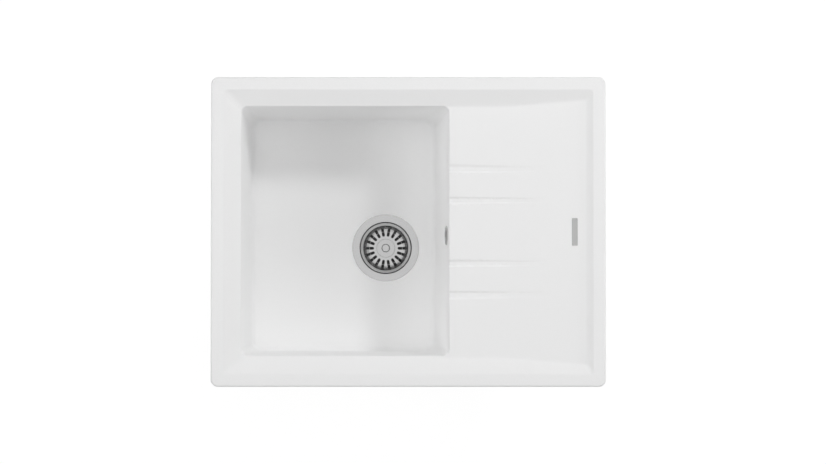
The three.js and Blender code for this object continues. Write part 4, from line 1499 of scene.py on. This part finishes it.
@dataclass
class Waste:
    """The steel cup and basket in the bowl's floor and the plastic housing that they are screwed to."""

    # Stainless steel polished on a lathe: fine rings fan the light out from the drain's axis.
    steel: Metal = Metal(
        "satin_steel_turned",
        "#C0C0C0",
        0.2,
        Lay.TURNED,
        centre=(DRAIN[0] * MM, SINK_CENTRE_Y + DRAIN[1] * MM, 0.0),
    )
    # Stainless steel as the press leaves it: even, with no lay and a little duller.
    pressed: Metal = Metal("satin_steel_pressed", "#C8C8C8", 0.24)
    # Brass turned from bar, not lacquered: warm yellow, softly bright.
    brass: Metal = Metal("turned_brass", "#C8A35A", 0.3)
    slots: int = 18
    sheet: float = 1.0
    fullness: float = 2.6

    def flange(self) -> bpy.types.Mesh:
        """Form the cup with its wide flange, drawn from one sheet.

        Returns:
            The mesh data.
        """
        t = self.sheet
        return machined(
            [
                (56.9, -t),
                *arc(56.75, -0.15, 0.15, 0, 90, 3),
                *arc(45.3, -1.4, 1.4, 90, 180, 6),
                (42.5, -12.8),
                (28.8, -26.6),
                (28.4, -27.0),
                *arc(26, -29, 2, 90, 180, 5),
                (24, -42),
                (25, -42),
                *arc(26, -29, 2 - t, 180, 90, 4),
                (29.2, -28.0),
                (43.4, -13.3),
                *arc(45.3, -1.4, 1.4 - t, 180, 90, 4),
            ],
            144,
            0.0,
        )

    def spider(self) -> bpy.types.Mesh:
        """Form the cross in the throat: a pierced hub with four strips turned up at their ends.

        Returns:
            The mesh data.
        """
        strip = rounded([(4, -42), (23.5, -42), (23.5, -36), (22.4, -36), (22.4, -40.2), (4, -40.2)], 0.9, 4)
        arms = repeated(extruded(strip, -2.5, 2.5, 0.3), 4, math.pi / 4)
        hub = machined(oblong(3.3, 9, -42, -40), 48, 0.3)
        return combined(arms, [hub], "UNION")

    def basket(self) -> bpy.types.Mesh:
        """Form the dished basket and pierce its eighteen slots.

        Returns:
            The mesh data.
        """
        t, flat, reach, floor, top = self.sheet, 20.0, 18.2, -19.6, -3.6
        inside = self.dish(flat, reach, floor, top - floor)
        under = self.dish(flat, reach + t, floor - t, top - floor + t)
        rim = [(38.8, -3.0), (41.7, -1.8), *arc(42.0, -2.4, 0.8, 100, -20, 5), (41.9, -3.0), (39.2, -4.0)]
        outline = [(3.7, floor), *inside, *rim, *under[-2::-1], (3.7, floor - t)]
        cutter = slot_cutter(20.2, 37.0, 4.6, -23.0, 1.0)
        return machined(outline, 180, 0.0, cuts=[repeated(cutter, self.slots)])

    def dish(self, flat: float, reach: float, floor: float, rise: float) -> list[Point]:
        """Draw the dish's curve: nearly level over its floor, then ever steeper up to its rim.

        Args:
            flat: radius of the level floor.
            reach: how far out the curve goes from there.
            floor: height of the floor.
            rise: how far the curve climbs.

        Returns:
            Radius and height pairs.
        """
        power = 2 / self.fullness
        points = []
        for angle in np.radians(np.linspace(0, 90, 25)):
            out, down = math.sin(angle) ** power, max(math.cos(angle), 0.0) ** power
            points.append((flat + reach * out, floor + rise * (1 - down)))
        return points

    def knob(self) -> bpy.types.Mesh:
        """Turn the pull knob with its wide foot.

        Returns:
            The mesh data.
        """
        return machined(
            [
                (3.7, -19.3),
                (15.2, -19.3),
                *arc(14.7, -18.9, 1.0, -20, 90, 6),
                (9.6, -17.9),
                *arc(7.6, -14.6, 3.0, 280, 180, 6),
                (4.6, -11.2),
                *arc(6.4, -8.2, 0.9, -60, 25, 5),
                *arc(5.0, -5.1, 0.8, 35, 90, 4),
                (0, -4.3),
                (0, -10.3),
                (3.7, -10.3),
            ],
            96,
            0.0,
        )

    def stem(self) -> bpy.types.Mesh:
        """Turn the stem with the collars that hold the seal and the groove for its clip.

        Returns:
            The mesh data.
        """
        upper_collar = [(3.4, -20.9), (10, -20.9), (10, -23.4), (3.4, -23.4)]
        lower_collar = [(3.4, -27.0), (6.0, -27.0), (6.0, -28.4), (3.4, -28.4)]
        clip_groove = [(3.4, -31.1), (2.8, -31.1), (2.8, -33.3), (3.4, -33.3)]
        tip = [(3.4, -35.7), (2.4, -36.7), (0, -36.7)]
        outline = [(0, -10.6), (3.4, -10.6), *upper_collar, *lower_collar, *clip_groove, *tip]
        return machined(outline, 48, 0.2)

    def seal(self) -> bpy.types.Mesh:
        """Mould the rubber disc with its thin sealing lip and two rings on top.

        Returns:
            The mesh data.
        """
        lip = [(26.4, -26.7), (28.0, -25.5), (27.6, -24.9), (24.0, -24.6)]
        outer_ring = [(22.6, -24.2), (22.0, -24.9), (18.6, -24.4)]
        inner_ring = [(17.0, -23.8), (15.4, -23.7), (14.8, -24.2), (12.8, -24.2), (12.2, -23.7)]
        return machined([(3.7, -26.7), *lip, *outer_ring, *inner_ring, (3.7, -23.7)], 120, 0.3)

    def screw(self) -> bpy.types.Mesh:
        """Turn the clamping screw: a deep socket for the stem, a slot for a coin and a threaded shank.

        Returns:
            The mesh data.
        """
        shank = [(0, -75.3), (2.4, -75.3), (2.95, -74.7), (2.95, -39.7)]
        head = [(8, -39.7), (8, -30.5), (7.2, -29.7)]
        socket = [(4.9, -29.7), (4.9, -37.7), (0, -37.7)]
        coin_slot = block((-9, -0.9, -31.9), (9, 0.9, -29))
        screw = machined(shank + head + socket, 64, 0.2, cuts=[coin_slot])
        return joined([screw, spiral(18.0, 2.9, 30.0, 0.24, -74.5)], "clamping_screw")

    def housing(self) -> bpy.types.Mesh:
        """Mould the housing: a ribbed flanged cup with a coned foot and the hub for the brass nut.

        Returns:
            The mesh data.
        """
        outside = [(57, -13.6), (57, -17.6), (51.4, -20.6), *arc(43, -51.6, 8, 0, -50, 6), (25.9, -75.6)]
        outline = [*outside, (20.9, -75.6), *arc(40, -51.6, 8, -50, 0, 6), (48, -13.6)]
        rib = extruded([(49.5, -17), (55.5, -17), (51.6, -34), (49.5, -34)], -1.2, 1.2, 0.3)
        ribs = repeated(rib, 12, math.pi / 12)
        web = [(-24.4, -73.6), (24.4, -73.6), (41.8, -60.9), (-41.8, -60.9)]
        webs = [moved(extruded(web, -1.5, 1.5), Matrix.Rotation(math.radians(a), 4, "Z")) for a in (45, 135)]
        hub = machined(oblong(0, 9, -75.6, -59.3), 48, 0.5)
        pocket = machined(oblong(0, 6.3, -73.6, -58), 40, 0)
        hole = machined(oblong(0, 3.6, -80, -60), 40, 0)
        inlet = moved(machined(oblong(0, 14.3, 20, 56), 64, 0), INLET_AT)
        return machined(outline, 144, 0.5, [ribs, *webs, hub], [pocket, hole, inlet])

    def outlet(self) -> bpy.types.Mesh:
        """Mould the outlet with its inch and a half pipe thread.

        Returns:
            The mesh data.
        """
        tube = [(20.9, -75.9), (20.9, -105.6), (23.2, -105.6)]
        collar = [(23.2, -79.9), (25.9, -77.9), (25.9, -75.9)]
        thread = spiral(9.5, 23.0, 22.0, 0.85, -103.6)
        return joined([machined(tube + collar, 96, 0.4), thread], "housing_outlet")

    def inlet(self) -> bpy.types.Mesh:
        """Mould the overflow inlet with its thread.

        Returns:
            The mesh data.
        """
        collar = [(13.4, 51.3), (16.4, 51.3), (13.4, 53.7)]
        tube = machined([(9.5, 48.3), (13.4, 48.3), *collar, (13.4, 71), (9.5, 71)], 72, 0.3)
        thread = spiral(8.0, 13.3, 14.4, 0.65, 55.2)
        return moved(joined([tube, thread], "housing_inlet"), INLET_AT)

    def build(self) -> None:
        """Build every piece of the waste on its own body."""
        steel, pressed, brass = self.steel.build(), self.pressed.build(), self.brass.build()
        rubber, plastic = BLACK_RUBBER.build(), PLAIN_PLASTIC.build()
        groove = [(56, -12), (55.4, -11.8), (56, -11.6)]
        gasket = machined([(47.5, -13.3), (56, -13.3), *groove, (56, -10.3), (47.5, -10.3)], 120, 0.3)
        nut = machined(oblong(3.3, 6, -73.3, -59.3), 48, 0.3)
        gap = block((0, -1.5, -34), (6, 1.5, -30))
        clip = machined(oblong(3.1, 4.4, -32.7, -31.7), 48, 0.15, cuts=[gap])
        pieces = (
            ("strainer_flange", self.flange(), steel, "sink", "satin_steel"),
            ("cup_spider", self.spider(), pressed, "sink", "satin_steel"),
            ("strainer_basket", self.basket(), steel, "basket", "satin_steel"),
            ("basket_knob", self.knob(), steel, "basket", "satin_steel"),
            ("basket_stem", self.stem(), steel, "basket", "satin_steel"),
            ("basket_seal", self.seal(), rubber, "basket", "black_rubber"),
            ("stem_clip", clip, pressed, "basket", "satin_steel"),
            ("clamping_screw", self.screw(), pressed, "sink", "satin_steel"),
            ("housing_gasket", gasket, rubber, "sink", "black_rubber"),
            ("waste_housing", self.housing(), plastic, "sink", "white_plastic"),
            ("housing_outlet", self.outlet(), plastic, "sink", "white_plastic"),
            ("housing_inlet", self.inlet(), plastic, "sink", "white_plastic"),
            ("housing_nut", nut, brass, "sink", "brass"),
        )
        for name, mesh, finish, body, slot in pieces:
            finish_piece(name, moved(mesh, PLACED, WASTE_AT), finish, body)


# ---------------------------------------------------------------- overflow


@dataclass
class Overflow:
    """The domed cap in the bowl's right wall, the head behind it and the pipe down to the waste."""

    # The cap's stainless steel, pressed and then polished all over: even and softly bright.
    steel: Metal = Metal("satin_steel_cap", "#C8C8C8", 0.25)
    # Polypropylene, corrugated as it is drawn out: greyer and duller than the moulded pieces.
    pipe: Moulding = Moulding("pipe_plastic", "#CFCEC9", "#C7C6C0", 0.48, 0.6 * MM)
    spigot_z: float = -29.6
    spigot_end: float = 38.0
    inlet_end: float = 71.0

    def cap(self) -> bpy.types.Mesh:
        """Form the domed cap with six slots and a dimple for its screw.

        Returns:
            The mesh data.
        """
        crown, radius, sheet = 2.5, 100.0, 0.9
        spread = math.degrees(math.asin(16 / radius))
        outline = [
            (16, -0.4),
            *arc(0, crown - radius, radius, 90 - spread, 90 - spread * 0.33, 16),
            (4.5, 1.7),
            (2.8, 1.2),
            (2.8, 0.4),
            (5.5, 0.4),
            *arc(0, crown - sheet - radius, radius, 90 - spread * 0.4, 90 - spread * 0.94, 8),
            (15.1, -0.4),
        ]
        slot = slot_cutter(8.8, 13.2, 2.4, -1.0, 8.0)
        return machined(outline, 120, 0.0, cuts=[repeated(slot, 6, math.pi / 6)])

    def screw(self) -> bpy.types.Mesh:
        """Turn the cap's screw with a cross cut in its head.

        Returns:
            The mesh data.
        """
        outline = [(0, -38.6), (2.5, -38.6), (2.5, 1.3), (4.1, 2.0), (3.9, 2.3), (2.9, 2.6), (0, 2.7)]
        return machined(outline, 48, 0.15, cuts=cross_recess(2.6, 0.4, 1.7, 4))

    def down(self) -> Matrix:
        """Turn +Z down along the spigot."""
        return Matrix.Translation((0, 0, self.spigot_z)) @ Matrix.Rotation(-math.pi / 2, 4, "Y")

    def head(self) -> bpy.types.Mesh:
        """Mould the head: a cup behind the wall with a threaded spigot that points down.

        Returns:
            The mesh data.
        """
        down, end = self.down(), self.spigot_end
        spigot = moved(machined(oblong(0, 13.4, 10, end), 72, 0.3), down)
        bore = moved(machined(oblong(0, 9.5, 5.6, end + 2), 64, 0), down)
        well = machined(oblong(5.5, 17, -40.6, -14), 72, 0)
        over = machined(oblong(0, 6, -23.6, -14), 48, 0)
        hole = machined(oblong(0, 2.8, -40.6, -20), 32, 0)
        shell = machined(oblong(0, 20, -43.6, -15.6), 96, 0.8, [spigot], [well, over, bore, hole])
        return joined([shell, moved(spiral(7.0, 13.3, 12.6, 0.65, 24.0), down)], "overflow_head")

    def nut(self) -> bpy.types.Mesh:
        """Mould a union nut with eight grip ribs.

        Returns:
            The mesh data.
        """
        skirt = [(14.3, -8.6), (17.3, -8.6), (17.3, 6.9), (15.8, 8.4)]
        collar = [(11.6, 8.4), (11.6, 5.4), (14.3, 5.4)]
        grip = rounded([(16.3, -7.6), (18.6, -7.6), (18.6, 4.2), (17.4, 5.4), (16.3, 5.4)], 0.5)
        return machined(skirt + collar, 96, 0.4, [repeated(extruded(grip, -1.3, 1.3, 0.5), 8)])

    def hose(self, top: Matrix, bottom: Matrix) -> bpy.types.Mesh:
        """Run the corrugated pipe from one union to the other.

        Args:
            top: where the upper union stands.
            bottom: where the lower union stands.

        Returns:
            The mesh data, in metres in the sink's frame.
        """

        def along(union: Matrix, z: float) -> Vector:
            """Give a point on a union's axis, in the sink's frame."""
            return PLACED @ union @ Vector((0, 0, z))

        # Each end leaves its union straight, and two long handles shape the bend between them.
        line = bpy.data.curves.new("route", "CURVE")
        line.dimensions = "3D"
        line.resolution_u = 64
        spline = line.splines.new("BEZIER")
        spline.bezier_points.add(3)
        stops = (
            (along(top, 2.6), along(top, 1.0), along(top, 8.0)),
            (along(top, 18.6), along(top, 13.0), along(top, 110.6)),
            (along(bottom, 18.6), along(bottom, 138.6), along(bottom, 13.0)),
            (along(bottom, 2.6), along(bottom, 8.0), along(bottom, 1.0)),
        )
        for point, (place, before, after) in zip(spline.bezier_points, stops):
            point.handle_left_type = point.handle_right_type = "FREE"
            point.co, point.handle_left, point.handle_right = place, before, after
        pipe = grow(line, corrugated_pipe(), Pipe_Radius=11 * MM, Pitch=4.4 * MM, Depth=1.7 * MM)
        collars = [
            moved(machined(oblong(10, 13.4, 2.6, 5.1), 64, 0.3), PLACED, union)
            for union in (top, bottom)
        ]
        return joined([pipe, *collars], "overflow_hose")

    def build(self) -> None:
        """Build the overflow from the cap to the lower union."""
        top = OVERFLOW_AT @ self.down() @ Matrix.Translation((0, 0, self.spigot_end))
        bottom = WASTE_AT @ INLET_AT @ Matrix.Translation((0, 0, self.inlet_end))
        steel, pipe = self.steel.build(), self.pipe.build()
        rubber, plastic = BLACK_RUBBER.build(), PLAIN_PLASTIC.build()
        gasket = machined(oblong(13, 20, -15.3, -12.3), 72, 0.4)
        pieces = [
            ("overflow_cap", self.cap(), OVERFLOW_AT, steel, "satin_steel"),
            ("overflow_screw", self.screw(), OVERFLOW_AT, steel, "satin_steel"),
            ("overflow_gasket", gasket, OVERFLOW_AT, rubber, "black_rubber"),
            ("overflow_head", self.head(), OVERFLOW_AT, plastic, "white_plastic"),
        ]
        for end, union in (("top", top), ("bottom", bottom)):
            pieces.append((f"hose_nut_{end}", self.nut(), union, plastic, "white_plastic"))
            seal = machined(oblong(9.5, 13.4, 0.3, 2.3), 48, 0.2)
            pieces.append((f"hose_seal_{end}", seal, union, rubber, "black_rubber"))
        for name, mesh, at, finish, slot in pieces:
            finish_piece(name, moved(mesh, PLACED, at), finish, "sink")
        finish_piece("overflow_hose", self.hose(top, bottom), pipe, "sink")


# ---------------------------------------------------------------- fixing clips


@dataclass
class FixingClips:
    """Six pressed claws on screws that pull the rim down onto the worktop."""

    # Steel with a bright zinc coat: bluish and slightly cloudy.
    zinc: Metal = Metal("zinc_plate", "#BFC2C4", 0.33)
    # Brass turned and rolled with a knurl: warm, broken highlights.
    brass: Metal = Metal("knurled_brass", "#C8A35A", 0.32)
    # Which way is outward at each clip, in degrees. A parked claw lies a quarter turn short of it.
    outward: tuple[float, ...] = (-90, -90, 0, 90, 90, 180)

    def claw(self) -> bpy.types.Mesh:
        """Press the claw: a strap with a turned-up heel and a lip of three teeth.

        Returns:
            The mesh data.
        """
        t, heel, lip = 1.8, 4.2, 7.0
        outside = [(-11, heel), (-11, 0), (24, 0), (24, lip)]
        inside = [(24 - t, lip - 0.8), (24 - t, t), (-11 + t, t), (-11 + t, heel)]
        outline = rounded(outside + inside, 1.0, 4)
        cuts = [block((20, s * 2.6 - 1.3, lip - 2.2), (26, s * 2.6 + 1.3, lip + 2)) for s in (-1, 1)]
        cuts.append(machined(oblong(0, 2.9, -2, 4), 40, 0))
        strap = combined(extruded(outline, -6.5, 6.5, 0.35), cuts, "DIFFERENCE")
        return moved(strap, Matrix.Translation((0, 0, -21)))

    def screw(self) -> bpy.types.Mesh:
        """Turn the screw with a cross recess in its head and a thread on its shank.

        Returns:
            The mesh data.
        """
        outline = [(0, -24.5), (3.6, -24.5), (5.2, -23.4), (5.2, -21.3), (2.2, -21.3), (2.2, 10), (0, 10)]
        form = machined(outline, 48, 0.25, cuts=cross_recess(3.2, 0.6, -26, -22.7))
        return joined([form, spiral(38.0, 2.15, 30.0, 0.3, -20.6)], "screw")

    def insert(self) -> bpy.types.Mesh:
        """Turn the knurled brass insert.

        Returns:
            The mesh data.
        """
        tooth = extruded(oblong(3.3, 3.95, 0.6, 11.4), -0.25, 0.25)
        sleeve = machined(oblong(2.8, 3.8, 0, 12), 48, 0.25)
        return joined([sleeve, repeated(tooth, 24)], "insert")

    def build(self, sink: SinkBody) -> None:
        """Build the six clips, each claw on its own body.

        Args:
            sink: the body that they are fixed under.
        """
        zinc, brass = self.zinc.build(), self.brass.build()
        for number, ((x, y), outward) in enumerate(zip(sink.clip_places(), self.outward), 1):
            at = PLACED @ Matrix.Translation((x, y, -sink.clip_boss[1]))
            parked = at @ Matrix.Rotation(math.radians(outward - 90), 4, "Z")
            for name, mesh, place, finish, body, slot in (
                ("insert", self.insert(), at, brass, "sink", "brass"),
                ("screw", self.screw(), at, zinc, "sink", "zinc_steel"),
                ("claw", self.claw(), parked, zinc, f"claw_{number}", "zinc_steel"),
            ):
                finish_piece(f"clip_{number}_{name}", moved(mesh, place), finish, body)


# ---------------------------------------------------------------- stage, light and camera


@dataclass(frozen=True)
class Softbox:
    """A square soft light: the way it lies from the sink, its power in watts and its side in metres."""

    name: str
    direction: tuple[float, float, float]
    power: float
    size: float = 1.6


@dataclass
class Stage:
    """Plain white surroundings and floor, the soft lights and the camera that looks down on the sink."""

    target: tuple[float, float, float] = (0.0077, 0.2485, 0.008)
    distance: float = 6.0
    far: float = 50.0
    tilt: float = 1.85
    frame_width: float = 1.3587
    sensor: float = 36.0
    # Metal mirrors a white that starts at mirrored_low and is full at the second of two heights, -1 to 1.
    mirrored_from: float = -0.1
    mirrored_to: float = 0.75
    mirrored_low: float = 0.12
    light_distance: float = 3.0
    # The floor lies at the waste's lower end. Seen directly it is nearly all glow, so that it stays white.
    floor_z: float = -0.3046
    floor_half: float = 6.0
    floor_grey: float = 0.8
    floor_shade: float = 0.1
    floor_glow: float = 0.94
    softboxes: tuple[Softbox, ...] = (
        Softbox("overhead", (0.0, 0.02, 1.0), 20.0),
        Softbox("left", (-1.0, 0.0, 0.5), 31.4),
        Softbox("right", (1.0, 0.0, 0.5), 13.7),
        Softbox("low_right", (1.0, 0.0, 0.2), 16.5),
        Softbox("back", (0.0, 1.0, 0.5), 13.6),
        Softbox("high_back_left", (-0.5, 0.5, 1.0), 7.8),
        Softbox("front", (0.0, -1.0, 0.5), 10.5),
        Softbox("low_front", (0.0, -1.0, 0.2), 8.9),
        Softbox("key", (0.75, 0.7, 1.0), 23.0, 0.45),
    )

    def camera(self) -> None:
        """Stand the camera far above the sink, a little to the front, and aim it at the picture's middle."""
        data = bpy.data.cameras.new("camera")
        data.sensor_width = self.sensor
        data.lens = self.sensor * self.distance / self.frame_width
        data.clip_end = self.far
        angle = math.radians(self.tilt)
        camera = bpy.data.objects.new("camera", data)
        away = Vector((0.0, -math.sin(angle), math.cos(angle)))
        camera.location = Vector(self.target) + self.distance * away
        camera.rotation_euler = (angle, 0.0, 0.0)
        bpy.context.scene.collection.objects.link(camera)
        bpy.context.scene.camera = camera

    def world(self) -> None:
        """Show plain white all round, and mirror in metal a white that falls to grey towards the horizon."""
        world = bpy.data.worlds.new("studio")
        world.use_nodes = True
        tree = world.node_tree
        tree.nodes.clear()
        path = add_node(tree, "ShaderNodeLightPath").outputs
        way = add_node(tree, "ShaderNodeTexCoord").outputs["Generated"]
        height = add_node(tree, "ShaderNodeSeparateXYZ", {0: way}).outputs["Z"]
        ends = {"From Min": self.mirrored_from, "From Max": self.mirrored_to, "To Min": self.mirrored_low}
        graded = add_node(tree, "ShaderNodeMapRange", {"Value": height, **ends}).outputs[0]
        mirrored = {0: path["Is Glossy Ray"], 1: graded}
        glow = add_node(tree, "ShaderNodeMath", mirrored, operation="MULTIPLY").outputs[0]
        for other in (path["Is Camera Ray"], path["Is Transmission Ray"]):
            glow = add_node(tree, "ShaderNodeMath", {0: glow, 1: other}, operation="MAXIMUM").outputs[0]
        light = add_node(tree, "ShaderNodeBackground", {"Color": (1, 1, 1, 1), "Strength": glow})
        add_node(tree, "ShaderNodeOutputWorld", {"Surface": light.outputs[0]})
        bpy.context.scene.world = world

    def floor(self) -> None:
        """Lay a white floor that throws light up, holds a faint shadow and is clear from below."""
        material, tree = blank_material("white_studio_floor")
        path = add_node(tree, "ShaderNodeLightPath").outputs
        seen = path["Is Camera Ray"]
        for other in (path["Is Glossy Ray"], path["Is Transmission Ray"]):
            seen = add_node(tree, "ShaderNodeMath", {0: seen, 1: other}, operation="MAXIMUM").outputs[0]
        ends = {"Value": seen, "To Min": self.floor_grey, "To Max": self.floor_shade}
        grey = add_node(tree, "ShaderNodeMapRange", ends).outputs[0]
        shine = {0: seen, 1: self.floor_glow}
        glow = add_node(tree, "ShaderNodeMath", shine, operation="MULTIPLY").outputs[0]
        paint = add_node(tree, "ShaderNodeBsdfDiffuse", {"Color": grey}).outputs[0]
        light = add_node(tree, "ShaderNodeEmission", {"Strength": glow}).outputs[0]
        both = add_node(tree, "ShaderNodeAddShader", {0: paint, 1: light}).outputs[0]
        clear = add_node(tree, "ShaderNodeBsdfTransparent").outputs[0]
        under = add_node(tree, "ShaderNodeNewGeometry").outputs["Backfacing"]
        shown = add_node(tree, "ShaderNodeMixShader", {0: under, 1: both, 2: clear}).outputs[0]
        add_node(tree, "ShaderNodeOutputMaterial", {"Surface": shown})
        half = self.floor_half
        corners = [(x * half, y * half, self.floor_z) for x, y in ((-1, -1), (1, -1), (1, 1), (-1, 1))]
        mesh = bpy.data.meshes.new("floor")
        mesh.from_pydata(corners, [], [(0, 1, 2, 3)])
        mesh.materials.append(material)
        floor = bpy.data.objects.new("floor", mesh)
        bpy.context.scene.collection.objects.link(floor)

    def hang(self, box: Softbox) -> None:
        """Hang one soft light, turned to the sink. Metal doesn't mirror it, only the surroundings.

        Args:
            box: the light.
        """
        data = bpy.data.lights.new(box.name, "AREA")
        data.shape = "SQUARE"
        data.size = box.size
        data.energy = box.power
        light = bpy.data.objects.new(box.name, data)
        aim = Vector(box.direction).normalized()
        light.location = Vector(self.target) + aim * self.light_distance
        light.rotation_euler = aim.to_track_quat("Z", "Y").to_euler()
        light.visible_glossy = False
        bpy.context.scene.collection.objects.link(light)

    def build(self) -> None:
        """Set up the camera, the world, the floor and the lights."""
        self.camera()
        self.world()
        self.floor()
        for box in self.softboxes:
            self.hang(box)
        bpy.context.scene.view_settings.view_transform = "Standard"


def dress_carried_over() -> None:
    """Give the flange's gasket, which is shown as it is, the rubber of the other gaskets."""
    for piece in bpy.data.objects:
        if piece.name.startswith("flange_gasket"):
            for place in piece.material_slots:
                place.material = BLACK_RUBBER.build()


def main() -> None:
    """Build the dressed sink."""
    logging.basicConfig(level=logging.INFO)
    sink = SinkBody()
    sink.build()
    BadgePlate().build(sink)
    Waste().build()
    Overflow().build()
    FixingClips().build(sink)
    dress_carried_over()
    Stage().build()


if __name__ == "__main__":
    main()
